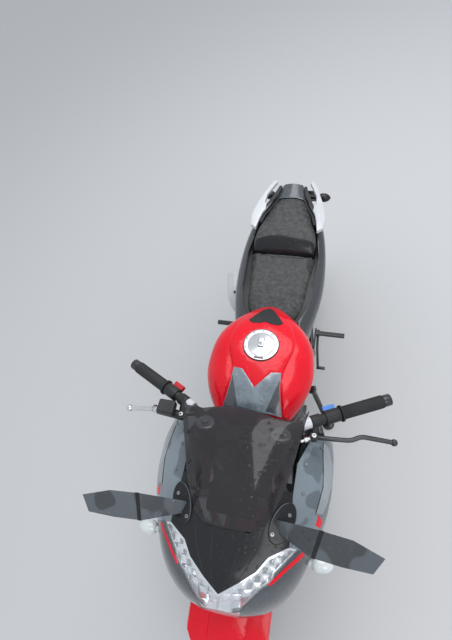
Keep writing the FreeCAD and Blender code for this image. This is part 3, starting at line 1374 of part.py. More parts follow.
def footrests():
    """Hanger plates, pegs and foot levers on both sides."""
    solids = []
    px, pz = size("peg_x"), size("peg_z")
    outer = size("plate_inner") + size("plate_thick")
    for side, plate_y, peg_end in ((1, outer, 275), (-1, 195, 305)):
        outline = [(-188, 432), (-172, 418), (-190, 384), (px + 24, pz - 12), (px, pz - 20), (px - 20, pz - 4),
                   (px - 14, pz + 20), (-250, 408)]
        plate = soft_edges(side_prism(outline, plate_y, plate_y + 8), 5, Y_AXIS)
        peg = rod(Vector(px, plate_y + 6, pz), Vector(px, peg_end, pz), size("peg_radius"))
        boss = rod(Vector(px, plate_y + 6, pz), Vector(px, plate_y + 22, pz), 16)
        toe_x = px + 165
        lever = tube([Vector(px, plate_y + 15, pz), Vector(px + 60, plate_y + 18, pz - 22),
                      Vector(toe_x, plate_y + 30, pz - 14)], 5.5, 0.4)
        toe = rod(Vector(toe_x, plate_y + 24, pz - 14), Vector(toe_x, plate_y + 60, pz - 14), 7)
        body = fused(plate, peg, boss, lever, toe)
        if side < 0:
            standoff = rod(Vector(-196, outer, 414), Vector(-196, plate_y + 4, 414), 10)
            body = fused(body, standoff)
            body = mirrored(body)
        solids.append(body)
    pipe_piece = made("exhaust_pipe")
    add("footrests", Part.makeCompound([solids[0], solids[1].cut(pipe_piece)]))


def chain_guard():
    guard = side_prism([(-300, 412), (-300, 418), (-560, 432), (-720, 428), (-720, 422), (-560, 424)], 76, 101)
    wall = side_prism([(-300, 400), (-300, 418), (-560, 432), (-720, 428), (-720, 412), (-560, 416)], 98, 101)
    foot = side_prism([(-420, 360), (-420, 420), (-400, 420), (-400, 360)], 98, 101)
    arm = made("swingarm")
    add("chain_guard", fused(guard, wall, foot).cut(arm))


def rear_caliper():
    body = caliper(rear_axle, -size("rear_disc_y"), 40, 92, size("rear_disc_radius"), 20)
    arm = made("swingarm")
    lug = side_prism([(-660, 300), (-600, 300), (-590, 400), (-640, 400)], -100, -92)
    axle_hole = rod(rear_axle + Vector(0, -160, 0), rear_axle + Vector(0, 160, 0), 16)
    add("rear_caliper", fused(body, lug).cut(arm).cut(axle_hole))


# Build every piece

front_wheel()
rear_wheel()
rear_sprocket()
chain()
fork()
fork_clamps()
handlebars()
grips()
switchgear()
levers()
front_mudguard()
front_axle_piece()
front_caliper()
brake_hose()
frame()
side_stand()
subframe()
swingarm()
rear_axle_piece()
rear_shock()
engine()
radiator()
exhaust_pipe()
silencer()
nose_panels()
side_panels()
belly_pan()
add("windscreen", screen_shape())
dash()
tank()
cap_ring()
cap_lid()
seats()
tail_panels()
grab_rails()
rear_mudguard()
indicators()
mirrors()
footrests()
chain_guard()
rear_caliper()
doc.recompute()

# Park it: lean, then put the origin under the middle of the whole bike

pieces = [item for item in doc.Objects if item.Label in labels]
for piece in pieces:
    piece.Placement = parked.multiply(piece.Placement)
doc.recompute()
whole = Part.makeCompound([piece.Shape for piece in pieces]).optimalBoundingBox(False)
shift = Vector(-(whole.XMin + whole.XMax) / 2, -(whole.YMin + whole.YMax) / 2, 0)
row_frame = Placement(shift, Rotation()).multiply(parked)
for piece in pieces:
    piece.Placement = Placement(shift, Rotation()).multiply(piece.Placement)
doc.recompute()

for item in doc.Objects:
    if "Invalid" in item.State or "Error" in item.State:
        raise RuntimeError("failed object: " + item.Label)
for piece in pieces:
    if piece.Shape.isNull() or not piece.Shape.isValid() or not piece.Shape.Solids:
        raise RuntimeError("bad shape: " + piece.Label)

os.makedirs("parts", exist_ok=True)
for piece in pieces:
    piece.Shape.exportStep("parts/%s.step" % piece.Label)
    print("%-16s %2d solids %9.0f mm3" % (piece.Label, len(piece.Shape.Solids), piece.Shape.Volume))


def row_point(point):
    spot = row_frame.multVec(point) / 1000
    return [round(value, 5) for value in spot]


def row_way(way):
    turned_way = row_frame.Rotation.multVec(way)
    return [round(value, 6) for value in turned_way]


start, axis, fold = stand_axis()
hinge = Vector(size("cap_x") + size("cap_radius") + size("cap_gap") + 4, 0, size("cap_z") + 3.2)
print("pieces", len(pieces))
print("box", whole)
print("steering", row_point(steer_origin), row_way(steer_up))
print("front wheel", row_point(front_axle), "rear wheel", row_point(rear_axle), row_way(Y_AXIS))
print("side stand", row_point(start), row_way(axis), fold)
print("cap hinge", row_point(hinge), row_way(Y_AXIS))
print("stem bore", row_point(at_head(0, 0, size("low_clamp_at") - size("low_clamp_thick") / 2)))
outer_arm = size("arm_inner") + size("arm_thick")
for side in (1, -1):
    print("spool", row_point(Vector(size("spool_x"), side * outer_arm, rear_axle.z - 2)), row_way(Y_AXIS * side))
print("filler", row_point(Vector(size("cap_x"), 0, size("cap_z") - 9)))
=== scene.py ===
# %% [markdown]
# # A faired sport bike on its side stand
# The CAD model gives every main shape. This file dresses it: paint, rubber, glass, seats, tread, bolts.
# Everything is in metres, in the frame of the CAD model: X runs to the front wheel, Y to the rider's
# left, Z up, and the bike leans 11 degrees to its left.

# %% Load the frame
import bpy
import bmesh
import json
import math
from mathutils import Matrix, Vector
from mathutils.bvhtree import BVHTree


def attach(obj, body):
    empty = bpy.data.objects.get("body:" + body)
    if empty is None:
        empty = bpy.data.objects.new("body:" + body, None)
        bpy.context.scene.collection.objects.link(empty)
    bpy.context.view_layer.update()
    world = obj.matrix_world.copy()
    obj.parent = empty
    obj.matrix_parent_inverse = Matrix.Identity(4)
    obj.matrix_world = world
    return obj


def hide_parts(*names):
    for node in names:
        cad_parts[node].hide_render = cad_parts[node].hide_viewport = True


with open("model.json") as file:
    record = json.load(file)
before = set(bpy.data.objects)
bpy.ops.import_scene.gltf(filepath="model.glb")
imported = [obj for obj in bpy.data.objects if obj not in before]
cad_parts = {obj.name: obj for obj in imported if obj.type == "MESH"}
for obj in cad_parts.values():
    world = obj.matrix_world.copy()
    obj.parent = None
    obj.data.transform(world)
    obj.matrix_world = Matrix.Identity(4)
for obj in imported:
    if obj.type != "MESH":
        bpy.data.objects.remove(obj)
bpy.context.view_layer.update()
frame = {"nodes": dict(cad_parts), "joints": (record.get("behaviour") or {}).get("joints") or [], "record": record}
nodes = frame["nodes"]
joints = {joint["name"]: joint for joint in frame["joints"]}

# %% [markdown]
# A motorcycle is easier to describe upright. The two axles and their direction are known in both frames,
# so they give the one matrix that takes upright millimetres to leaned metres. Every later cell places
# its points with it, which keeps the scene true to the CAD model if that is shifted.

# %% From the upright bike to the parked one
FRONT_AXLE = Vector((683.5, 0, 293))
REAR_AXLE = Vector((-683.5, 0, 314))


def axes_of(along, side):
    """Three square axes, from a main direction and a direction across it."""
    along, side = along.normalized(), side.normalized()
    return Matrix((along, side, along.cross(side))).transposed()


front_spin, rear_spin = joints["front_wheel_spin"], joints["rear_wheel_spin"]
parked_axes = axes_of(Vector(front_spin["pos_m"]) - Vector(rear_spin["pos_m"]), Vector(front_spin["axis"]))
upright_axes = axes_of(FRONT_AXLE - REAR_AXLE, Vector((0, 1, 0)))
turn = parked_axes @ upright_axes.transposed()
place = (Matrix.Translation(Vector(front_spin["pos_m"])) @ turn.to_4x4() @ Matrix.Scale(0.001, 4)
         @ Matrix.Translation(-FRONT_AXLE))
upright = place.inverted()
print("lean", round(math.degrees(math.asin(turn[2][1])), 2))


def spot(x, y, z):
    """A point of the upright bike, in millimetres, as a point of the parked one."""
    return place @ Vector((x, y, z))


def way(x, y, z):
    return (turn @ Vector((x, y, z))).normalized()


# %% [markdown]
# The photograph looks down over the nose from the left. The camera's place and its three directions were
# fitted to points of known size, on the upright bike, so they pass through the same matrix. The sensor's
# 36 mm lie along the picture's long side, which makes the lens a wide 24 mm.

# %% Camera
CAMERA_PLACE = (690.3, 154.9, 2033.6)


def setup(target, **settings):
    """Set several properties of one thing."""
    for label, value in settings.items():
        setattr(target, label, value)
    return target


def new_object(name, data):
    """An object of the scene, made from its data."""
    obj = bpy.data.objects.new(name, data)
    bpy.context.scene.collection.objects.link(obj)
    return obj


camera_data = setup(bpy.data.cameras.new("camera"), lens=24.19, sensor_width=36, clip_end=60)
camera = new_object("camera", camera_data)
view_forward = way(-0.5099, -0.2087, -0.8346)
view_right = way(-0.2026, 0.972, -0.1193)
view_up = view_right.cross(view_forward)
camera.matrix_world = Matrix.Translation(spot(*CAMERA_PLACE)) @ Matrix(
    (view_right, view_up, -view_forward)).transposed().to_4x4()
bpy.context.scene.camera = camera
print("camera at", [round(value, 3) for value in camera.location])

# %% [markdown]
# A pale floor and an even sky stand in for an overcast day. One large lamp overhead gives the paint a
# soft highlight, and a weaker one ahead lights the nose and the beak. Both are plain white.

# %% Floor, sky and lamps


def new_mesh(name, points, faces=()):
    mesh = bpy.data.meshes.new(name)
    mesh.from_pydata([tuple(point) for point in points], [], list(faces))
    return mesh


def new_material(name):
    """An empty node material with its tree and its Principled shader."""
    material = bpy.data.materials.new(name)
    material.use_nodes = True
    return material, material.node_tree, material.node_tree.nodes["Principled BSDF"]


FLOOR_HALF = 9
floor_corners = [(x * FLOOR_HALF, y * FLOOR_HALF, 0) for x, y in ((-1, -1), (1, -1), (1, 1), (-1, 1))]
floor_mesh = new_mesh("floor", floor_corners, [(0, 1, 2, 3)])
floor = new_object("floor", floor_mesh)
floor_finish, _, floor_shader = new_material("floor_finish")
floor_shader.inputs["Base Color"].default_value = (0.60, 0.60, 0.61, 1)
floor_shader.inputs["Roughness"].default_value = 0.85
floor_mesh.materials.append(floor_finish)

world = bpy.data.worlds.new("sky")
bpy.context.scene.world = world
world.use_nodes = True
sky_inputs = world.node_tree.nodes["Background"].inputs
sky_inputs["Color"].default_value = (0.90, 0.95, 1.0, 1)
sky_inputs["Strength"].default_value = 0.75


def area_lamp(name, position, target, width, power):
    lamp = new_object(name, setup(bpy.data.lights.new(name, "AREA"), size=width, energy=power))
    lamp.location = position
    lamp.rotation_euler = (Vector(target) - Vector(position)).to_track_quat("-Z", "Y").to_euler()


area_lamp("overhead", (-1.4, 0.9, 4.2), (0, 0, 0.5), 3.0, 80)
area_lamp("ahead", (2.6, 2.4, 3.0), (0.2, 0, 0.6), 2.0, 40)
bpy.context.scene.view_settings.view_transform = "Standard"
print("lamps", len(bpy.data.lights))

# %% [markdown]
# Every finish on the bike varies a little: lacquer collects dust, moulded plastic has a grain, cast metal
# is sandy, ground metal is brushed. Each effect is a shader node group with named inputs, built once here
# and placed in the materials with its own numbers. A group puts out a mask and a height only.

# %% Shared effects


def fill(tree, node, inputs):
    """Give a node's inputs, by name or number, a value each or a link from another socket."""
    for label, value in inputs.items():
        if isinstance(value, bpy.types.NodeSocket):
            tree.links.new(value, node.inputs[label])
        else:
            node.inputs[label].default_value = value
    return node


def add_node(tree, kind, inputs, **settings):
    """A new node's outputs. Its settings go first, because some change which inputs it has."""
    return fill(tree, setup(tree.nodes.new(kind), **settings), inputs).outputs


def math_node(tree, kind, *values, clamp=False):
    return add_node(tree, "ShaderNodeMath", dict(enumerate(values)), operation=kind, use_clamp=clamp)[0]


def noise(tree, vector, scale, detail=3.0, rough=0.55):
    inputs = {"Vector": vector, "Scale": scale, "Detail": detail, "Roughness": rough}
    return add_node(tree, "ShaderNodeTexNoise", inputs)["Fac"]


def cells(tree, vector, scale, kind="F1"):
    """Cells round scattered points: a colour for each, and the distance from its point."""
    return add_node(tree, "ShaderNodeTexVoronoi", {"Vector": vector, "Scale": scale}, feature=kind)


def spread(tree, value, low=0.35, high=0.7):
    """Stretch the middle of a noise to the whole of 0 to 1."""
    return add_node(tree, "ShaderNodeMapRange", {"Value": value, "From Min": low, "From Max": high})[0]


def effect(name, build, **inputs):
    """A shader group in the object's own coordinates, with float inputs, a mask and a height."""
    group = bpy.data.node_groups.new(name, "ShaderNodeTree")
    for label, value in inputs.items():
        socket = group.interface.new_socket(label, in_out="INPUT", socket_type="NodeSocketFloat")
        socket.default_value = value
    for label in ("Mask", "Height"):
        group.interface.new_socket(label, in_out="OUTPUT", socket_type="NodeSocketFloat")
    given = group.nodes.new("NodeGroupInput").outputs
    where = group.nodes.new("ShaderNodeTexCoord").outputs["Object"]
    mask, height = build(group, where, given)
    add_node(group, "NodeGroupOutput", {"Mask": mask, "Height": height})
    return group


def mottle(group, where, given):
    cloud = spread(group, noise(group, where, given["Scale"], 4.0), 0.35, 0.68)
    dust = spread(group, noise(group, where, given["Fine"], 2.0), 0.40, 0.75)
    return math_node(group, "MULTIPLY_ADD", cloud, 0.7, math_node(group, "MULTIPLY", dust, 0.3)), dust


def blotches(group, where, given):
    """Large patches with clear edges, as on a camouflage lacquer."""
    cloud = noise(group, where, given["Scale"], 1.0, 0.4)
    return spread(group, cloud, 0.50, 0.54), noise(group, where, 120.0)


def grain(group, where, given):
    bumps = cells(group, where, given["Scale"], "SMOOTH_F1")["Distance"]
    return spread(group, noise(group, where, 7.0)), bumps


def cast(group, where, given):
    sand = noise(group, where, given["Scale"], 5.0, 0.7)
    return spread(group, noise(group, where, 11.0, 4.0)), sand


def brushed(group, where, given):
    stretched = add_node(group, "ShaderNodeMapping", {"Vector": where, "Scale": (0.4, 9.0, 9.0)})[0]
    lines = noise(group, stretched, given["Scale"], 4.0, 0.7)
    return spread(group, noise(group, where, 9.0)), lines


def drops(group, where, given):
    """Drops of rain: round domes of many sizes, most places bare."""
    drop = cells(group, where, given["Scale"])
    pick = add_node(group, "ShaderNodeSeparateColor", {0: drop["Color"]})[0]
    reach = math_node(group, "MULTIPLY", pick, given["Cover"])
    dome = math_node(group, "SUBTRACT", reach, drop["Distance"], clamp=True)
    return math_node(group, "GREATER_THAN", dome, 0.01), math_node(group, "MULTIPLY", dome, 4.0, clamp=True)


EFFECTS = {"mottle": effect("mottle", mottle, Scale=6.0, Fine=90.0),
           "blotches": effect("blotches", blotches, Scale=14.0),
           "grain": effect("moulded_grain", grain, Scale=900.0),
           "cast": effect("cast_skin", cast, Scale=420.0),
           "brushed": effect("brushed", brushed, Scale=60.0),
           "beads": effect("rain_drops", drops, Scale=85.0, Cover=0.45)}
print("effects", sorted(EFFECTS))

# %% [markdown]
# One function makes a finish from a short row: two shades that the effect's mask blends, a range of
# roughness, and how deep the effect's relief is. What is the same all over, such as metal or coat, is
# set on the shader itself, because only there does an export keep it.

# %% Finishes
FINISHES = {}
DROP_HEIGHT = 0.0012
COAT_ROUGHNESS = 0.06
CLEAR_SHADE = 0.8


def use_effect(tree, kind, **values):
    return add_node(tree, "ShaderNodeGroup", values, node_tree=EFFECTS[kind])


def blended(tree, mask, first, second):
    colours = {"Factor": mask, "A": (*first, 1), "B": (*second, 1)}
    return add_node(tree, "ShaderNodeMix", colours, data_type="RGBA")["Result"]


def relief(tree, height, strength, distance, **under):
    """A normal from a height in metres, over the normal under it where there is one."""
    inputs = {"Height": height, "Strength": strength, "Distance": distance}
    return add_node(tree, "ShaderNodeBump", inputs | under)[0]


def finish(name, light, dark, rough, kind="mottle", depth=0.1, size=0.001, wet=0.0, metal=0.0, coat=0.0,
           specular=0.5, **values):
    """A varied surface: light and dark shades, a roughness range, and relief of size metres."""
    FINISHES[name], tree, shader = new_material(name)
    pattern = use_effect(tree, kind, **values)
    normal = relief(tree, pattern["Height"], depth, size)
    if wet:
        normal = relief(tree, use_effect(tree, "beads")["Height"], wet, DROP_HEIGHT, Normal=normal)
    roughness = math_node(tree, "MULTIPLY_ADD", pattern["Mask"], rough[1] - rough[0], rough[0])
    fill(tree, shader, {"Base Color": blended(tree, pattern["Mask"], light, dark), "Roughness": roughness,
                        "Normal": normal, "Metallic": metal, "Coat Weight": coat,
                        "Coat Roughness": COAT_ROUGHNESS, "Specular IOR Level": specular})


def clear_finish(name, tint, rough, alpha, wet):
    """A see-through moulding with drops of rain on it."""
    FINISHES[name], tree, shader = new_material(name)
    mask = use_effect(tree, "mottle", Scale=9.0)["Mask"]
    shade = [value * CLEAR_SHADE for value in tint]
    normal = relief(tree, use_effect(tree, "beads")["Height"], wet, DROP_HEIGHT)
    fill(tree, shader, {"Base Color": blended(tree, mask, tint, shade), "Normal": normal,
                        "Roughness": rough, "Alpha": alpha, "IOR": 1.45})


finish("red_paint", (0.84, 0.001, 0.018), (0.68, 0.001, 0.012), (0.18, 0.30), depth=0.04, wet=0.5, coat=0.25,
       specular=0.25)
finish("grey_paint", (0.25, 0.30, 0.345), (0.10, 0.125, 0.15), (0.14, 0.30), depth=0.04, wet=0.5, coat=0.9,
       metal=0.15, Scale=16.0)
finish("dark_gloss", (0.066, 0.076, 0.090), (0.036, 0.042, 0.050), (0.16, 0.30), depth=0.05, wet=0.7,
       coat=0.7, Scale=13.0)
finish("cowl_paint", (0.185, 0.225, 0.26), (0.105, 0.130, 0.152), (0.16, 0.30), "blotches", 0.02, wet=0.5,
       coat=0.7, Scale=15.0)
finish("mirror_paint", (0.084, 0.094, 0.108), (0.036, 0.041, 0.048), (0.20, 0.34), "blotches", 0.02, wet=0.7,
       coat=0.5, Scale=13.0)
finish("tail_paint", (0.036, 0.041, 0.048), (0.022, 0.025, 0.030), (0.20, 0.34), depth=0.05, wet=0.6,
       coat=0.5)
finish("pale_slate", (0.34, 0.37, 0.39), (0.22, 0.25, 0.27), (0.18, 0.34), depth=0.04, wet=0.5, coat=0.7,
       Scale=10.0)
finish("gloss_black", (0.014, 0.014, 0.016), (0.008, 0.008, 0.010), (0.22, 0.34), depth=0.05, wet=0.6,
       coat=0.2, specular=0.3)
finish("black_plastic", (0.022, 0.022, 0.024), (0.012, 0.012, 0.013), (0.42, 0.58), "grain", 0.25, 0.0003,
       wet=0.4)
finish("seat_vinyl", (0.022, 0.023, 0.024), (0.095, 0.098, 0.100), (0.48, 0.70), depth=0.6, Scale=70.0,
       Fine=330.0)
finish("rubber", (0.020, 0.020, 0.021), (0.012, 0.012, 0.012), (0.60, 0.78), "grain", 0.3, 0.0004)
finish("tyre", (0.022, 0.022, 0.023), (0.045, 0.043, 0.040), (0.65, 0.85), "cast", 0.25, 0.0006)
finish("frame_black", (0.024, 0.024, 0.026), (0.014, 0.014, 0.015), (0.30, 0.45), depth=0.12, coat=0.3)
finish("engine_metal", (0.115, 0.115, 0.12), (0.070, 0.070, 0.074), (0.40, 0.55), "cast", 0.35, 0.0006,
       metal=0.5)
finish("aluminium", (0.62, 0.63, 0.65), (0.45, 0.46, 0.48), (0.28, 0.42), "brushed", 0.15, 0.0004, metal=1.0)
finish("rail_silver", (0.66, 0.67, 0.70), (0.52, 0.53, 0.56), (0.30, 0.42), depth=0.06, coat=0.4)
finish("steel", (0.42, 0.42, 0.43), (0.28, 0.28, 0.29), (0.26, 0.42), "brushed", 0.2, 0.0004, metal=1.0)
finish("chrome", (0.78, 0.78, 0.80), (0.60, 0.60, 0.62), (0.08, 0.16), depth=0.03, metal=1.0)
clear_finish("smoke_screen", (0.036, 0.033, 0.037), 0.08, alpha=0.70, wet=0.6)
clear_finish("clear_lens", (0.85, 0.88, 0.92), 0.05, alpha=0.16, wet=0.4)
finish("milky_lens", (0.78, 0.82, 0.84), (0.62, 0.66, 0.68), (0.10, 0.20), depth=0.04, wet=0.4, coat=0.6)
finish("reflector", (0.95, 0.96, 0.98), (0.70, 0.72, 0.76), (0.08, 0.22), depth=0.05, metal=0.85, Scale=30.0)
finish("red_switch", (0.62, 0.010, 0.020), (0.50, 0.008, 0.015), (0.25, 0.35), depth=0.04)
finish("blue_switch", (0.010, 0.200, 0.700), (0.008, 0.150, 0.560), (0.25, 0.35), depth=0.04)
finish("pale_plate", (0.50, 0.50, 0.50), (0.38, 0.38, 0.38), (0.30, 0.45), depth=0.05)
finish("red_lens", (0.35, 0.006, 0.006), (0.20, 0.003, 0.003), (0.10, 0.18), coat=0.5)
print("finishes", len(FINISHES))

# %% [markdown]
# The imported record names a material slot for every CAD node, so the finishes go on by that table. The
# CAD meshes are loose triangles with flat normals. Smooth shading by angle keeps the creases of the
# panels and rounds the rest, and it doesn't move a vertex.

# %% Finishes on the CAD nodes
NEARER_FINISHES = {"beak": "gloss_black", "indicators": "milky_lens", "lamp_bowl": "reflector",
                   "side_cowls": "cowl_paint", "mirrors": "mirror_paint", "tail_covers": "tail_paint",
                   "silencer": "rail_silver"}
for row in frame["record"]["subparts"]:
    mesh = nodes[row["node"]].data
    mesh.materials.clear()
    mesh.materials.append(FINISHES[NEARER_FINISHES.get(row["node"], row["material_slot"])])


def second_finish(label, name, chosen):
    """Another finish on the faces of a node whose centre and normal, on the upright bike, are chosen."""
    mesh = nodes[label].data
    mesh.materials.append(FINISHES[name])
    for polygon in mesh.polygons:
        if chosen(upright @ polygon.center, turn.transposed() @ polygon.normal):
            polygon.material_index = 1


ARM_FRONT, ARM_REAR, REAR_MIDDLE, WIDENING = -575, -690, 66, 0.29


def inner_arm(centre, normal):
    """The sides of the rails' inner arms, which lie inside the middle line of each slot."""
    middle = REAR_MIDDLE + (centre.x - ARM_REAR) * WIDENING
    return abs(normal.z) < 0.5 and centre.x < ARM_FRONT and abs(centre.y) < middle


second_finish("indicators", "gloss_black", lambda centre, normal: centre.x < 0)
second_finish("grab_rails", "black_plastic", inner_arm)
print("finishes on", len(nodes), "nodes")

# %% [markdown]
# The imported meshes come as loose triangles. Welding them, rounding their sharp edges a little and
# splitting the shading only at real creases turns them into moulded and cast pieces. All three are
# modifiers, so the CAD mesh itself stays untouched.

# %% Round the edges of the CAD nodes
SHARP = math.radians(32)
CAD_WELD = 0.00002
SOFT_EDGE = 0.001
SOFT_EDGES = {"rear_tyre": 0, "front_tyre": 0, "windscreen": 0.0006, "front_disc": 0.0003,
              "rear_disc": 0.0003, "grab_rails": 0.0035, "fuel_tank": 0.002, "exhaust_pipe": 0,
              "brake_hose": 0, "rear_sprocket": 0.0004, "silencer": 0.002, "side_cowls": 0.0015,
              "cheeks": 0.0015, "fairings": 0.0015, "nose_cowl": 0.0015, "fork_tubes": 0.0006,
              "rear_shock": 0.0004, "mirrors": 0.0015, "fuel_cap": 0.0008, "subframe": 0,
              "frame": 0.0008}


def modify(obj, kind, **settings):
    return setup(obj.modifiers.new(kind.lower(), kind), **settings)


for label, node in nodes.items():
    for polygon in node.data.polygons:
        polygon.use_smooth = True
    modify(node, "WELD", merge_threshold=CAD_WELD)
    width = SOFT_EDGES.get(label, SOFT_EDGE)
    if width:
        modify(node, "BEVEL", width=width, segments=2, limit_method="ANGLE", angle_limit=SHARP,
               use_clamp_overlap=True)
    modify(node, "EDGE_SPLIT", split_angle=SHARP)
print("dressed", len(nodes))

# %% [markdown]
# Most extra pieces are plain meshes made from lists of points. One helper closes them, turns every face
# outwards, smooths them up to a crease angle, gives the finish and lets them ride on a body. Another
# drops points on a CAD surface from straight above the upright bike, so that trim lies on the panel
# that carries it.

# %% Mesh helpers
SLOTS = [row["slot"] for row in frame["record"]["materials"]]
WELD = 0.000002
SKY_HEIGHT, NEAR_HEIGHT = 1300.0, 900.0
SUNK = 0.6
TUBE_SIDES = 8


def settle(obj, finish_name, body, replaced=(), crease=35):
    """Give a finished mesh its material, its shading and its body."""
    mesh = obj.data
    shape = bmesh.new()
    shape.from_mesh(mesh)
    bmesh.ops.remove_doubles(shape, verts=shape.verts, dist=WELD)
    bmesh.ops.recalc_face_normals(shape, faces=shape.faces)
    shape.to_mesh(mesh)
    shape.free()
    mesh.materials.clear()
    mesh.materials.append(FINISHES[finish_name])
    mesh.shade_smooth()
    mesh.set_sharp_from_angle(angle=math.radians(crease))
    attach(obj, body)
    if replaced:
        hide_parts(*replaced)


def piece(name, vertices, faces, finish_name, body="chassis", replaced=(), crease=35):
    settle(new_object(name, new_mesh(name, vertices, faces)), finish_name, body, replaced, crease)


def circle(count, radius=1.0):
    """Even points of a circle about the origin."""
    angles = [2 * math.pi * step / count for step in range(count)]
    return [(radius * math.cos(angle), radius * math.sin(angle)) for angle in angles]


def rings_to_faces(ring_count, ring_size, closed=False):
    """Faces that join rings of points one after another, with flat caps unless the tube is closed."""
    faces = []
    for ring in range(ring_count if closed else ring_count - 1):
        low, high = ring * ring_size, ((ring + 1) % ring_count) * ring_size
        for step in range(ring_size):
            after = (step + 1) % ring_size
            faces.append((low + step, low + after, high + after, high + step))
    if not closed:
        faces.append(tuple(reversed(range(ring_size))))
        faces.append(tuple(range((ring_count - 1) * ring_size, ring_count * ring_size)))
    return faces


def turned_piece(start, end, profile, steps=48, ring=False):
    """Points and faces of a turned part: profile rows are (along, radius) in millimetres."""
    start = Vector(start)
    along = (Vector(end) - start).normalized()
    across = along.orthogonal().normalized()
    other = along.cross(across)
    points = [place @ (start + along * reach + (across * cosine + other * sine) * radius)
              for reach, radius in profile for cosine, sine in circle(steps)]
    return points, rings_to_faces(len(profile), steps, ring)


def joined(parts):
    """Several (points, faces) lists as one."""
    points, faces = [], []
    for more_points, more_faces in parts:
        base = len(points)
        points += more_points
        faces += [tuple(index + base for index in face) for face in more_faces]
    return points, faces


upright_trees = {}


def surface_of(labels):
    """A ray-casting tree of one or more CAD nodes on the upright bike, in millimetres."""
    if labels not in upright_trees:
        meshes = [nodes[label].data for label in ((labels,) if isinstance(labels, str) else labels)]
        for mesh in meshes:
            mesh.calc_loop_triangles()
        points, triangles = joined([([upright @ vertex.co for vertex in mesh.vertices],
                                     [tuple(tri.vertices) for tri in mesh.loop_triangles])
                                    for mesh in meshes])
        upright_trees[labels] = BVHTree.FromPolygons(points, triangles)
    return upright_trees[labels]


def dropped(labels, x, y, lift=0.0):
    """The point and normal where a plumb line over (x, y) meets CAD nodes, in upright millimetres."""
    hit, normal, _, _ = surface_of(labels).ray_cast(Vector((x, y, SKY_HEIGHT)), Vector((0, 0, -1)))
    if hit is None:
        return None, None
    return hit + normal * lift, normal


def dropped_line(labels, line, lift):
    """The points of a line of (x, y), dropped on CAD nodes. Those that miss are left out."""
    hits = [dropped(labels, x, y, lift)[0] for x, y in line]
    return [hit for hit in hits if hit is not None]


def laid_on(labels, outline, thick=0.8, cell=8.0, relief_at=None):
    """Points and faces of a thin skin that lies on CAD nodes under an outline of (x, y) in millimetres."""
    shape = bmesh.new()
    shape.faces.new([shape.verts.new((x, y, 0)) for x, y in outline])
    bmesh.ops.triangulate(shape, faces=shape.faces[:])
    for axis, normal in enumerate(((1, 0, 0), (0, 1, 0))):
        values = [corner[axis] for corner in outline]
        for step in range(math.ceil(min(values) / cell), math.ceil(max(values) / cell)):
            centre = tuple(step * cell * value for value in normal)
            parts = shape.verts[:] + shape.edges[:] + shape.faces[:]
            bmesh.ops.bisect_plane(shape, geom=parts, plane_co=centre, plane_no=normal, dist=0.01)
    bmesh.ops.triangulate(shape, faces=shape.faces[:])
    shape.verts.index_update()
    top, bottom = [], []
    for vertex in shape.verts:
        x, y = vertex.co.x, vertex.co.y
        hit, normal = dropped(labels, x, y)
        if hit is None:
            near = Vector((x, y, top[-1][2] if top else NEAR_HEIGHT))
            hit, normal, _, _ = surface_of(labels).find_nearest(near)
        top.append(hit + normal * (thick + (relief_at(x, y) if relief_at else 0.0)))
        bottom.append(hit - normal * SUNK)
    count = len(top)
    faces = []
    for face in shape.faces:
        corners = tuple(vertex.index for vertex in face.verts)
        faces += [corners, tuple(index + count for index in reversed(corners))]
    for edge in shape.edges:
        if edge.is_boundary:
            first, last = (vertex.index for vertex in edge.verts)
            faces.append((first, last, last + count, first + count))
    shape.free()
    return [place @ point for point in top + bottom], faces


def both_sides(outline):
    return [outline, [(x, -y) for x, y in reversed(outline)]]


def laid_pair(labels, outline, *sizes):
    """A skin on each side of the bike, as one."""
    return joined([laid_on(labels, side, *sizes) for side in both_sides(outline)])


def round_tube(line, radius, closed=False):
    """Points and faces of a round tube along upright points, with a square frame carried along it."""
    rings = []
    count = len(line)
    across = None
    for number, point in enumerate(line):
        before = line[number - 1] if number or closed else point
        after = line[(number + 1) % count] if number + 1 < count or closed else point
        along = (after - before).normalized()
        if across is None:
            across = along.orthogonal()
        across = (across - along * across.dot(along)).normalized()
        other = along.cross(across)
        rings += [place @ (point + (across * cosine + other * sine) * radius)
                  for cosine, sine in circle(TUBE_SIDES)]
    return rings, rings_to_faces(count, TUBE_SIDES, closed)


def block(corners, low, high):
    """Points and faces of a prism over upright (x, y) corners between two heights."""
    return [spot(x, y, z) for z in (low, high) for x, y in corners], rings_to_faces(2, len(corners))


def solid_copy(label, name):
    """A welded copy of a CAD node's mesh."""
    mesh = nodes[label].data.copy()
    mesh.name = name
    shape = bmesh.new()
    shape.from_mesh(mesh)
    bmesh.ops.remove_doubles(shape, verts=shape.verts, dist=CAD_WELD)
    shape.to_mesh(mesh)
    shape.free()
    return mesh


def evaluated_mesh(obj):
    """The mesh of an object with its modifiers applied."""
    return bpy.data.meshes.new_from_object(obj.evaluated_get(bpy.context.evaluated_depsgraph_get()))


def bake(obj):
    """Put the evaluated mesh in place of the object's own, and take the modifiers off."""
    mesh = evaluated_mesh(obj)
    obj.modifiers.clear()
    obj.data = mesh


print("slots", len(SLOTS), "tank top", round(dropped("fuel_tank", 0, 0)[0].z, 1))

# %% [markdown]
# Both cushions are foam under vinyl, moulded to a base that the CAD model has. The foam shows as a crown
# and as soft edges. Cloth with pressure inside gives that: the CAD solid is remeshed into even squares,
# shrunk a little, blown up for twenty steps, and held to a few millimetres so it stays on its base. The
# pillion's front is glossy, up to a shallow curve across it.

# %% Cushions
VOXEL, SHRINK, MOST_MOVE = 0.005, 0.0045, 0.006
PRESSURE, BLOW_STEPS, UNDERSIDE = 4, 20, 0.7
GLOSS_FROM, GLOSS_BEND = -428, 0.0012


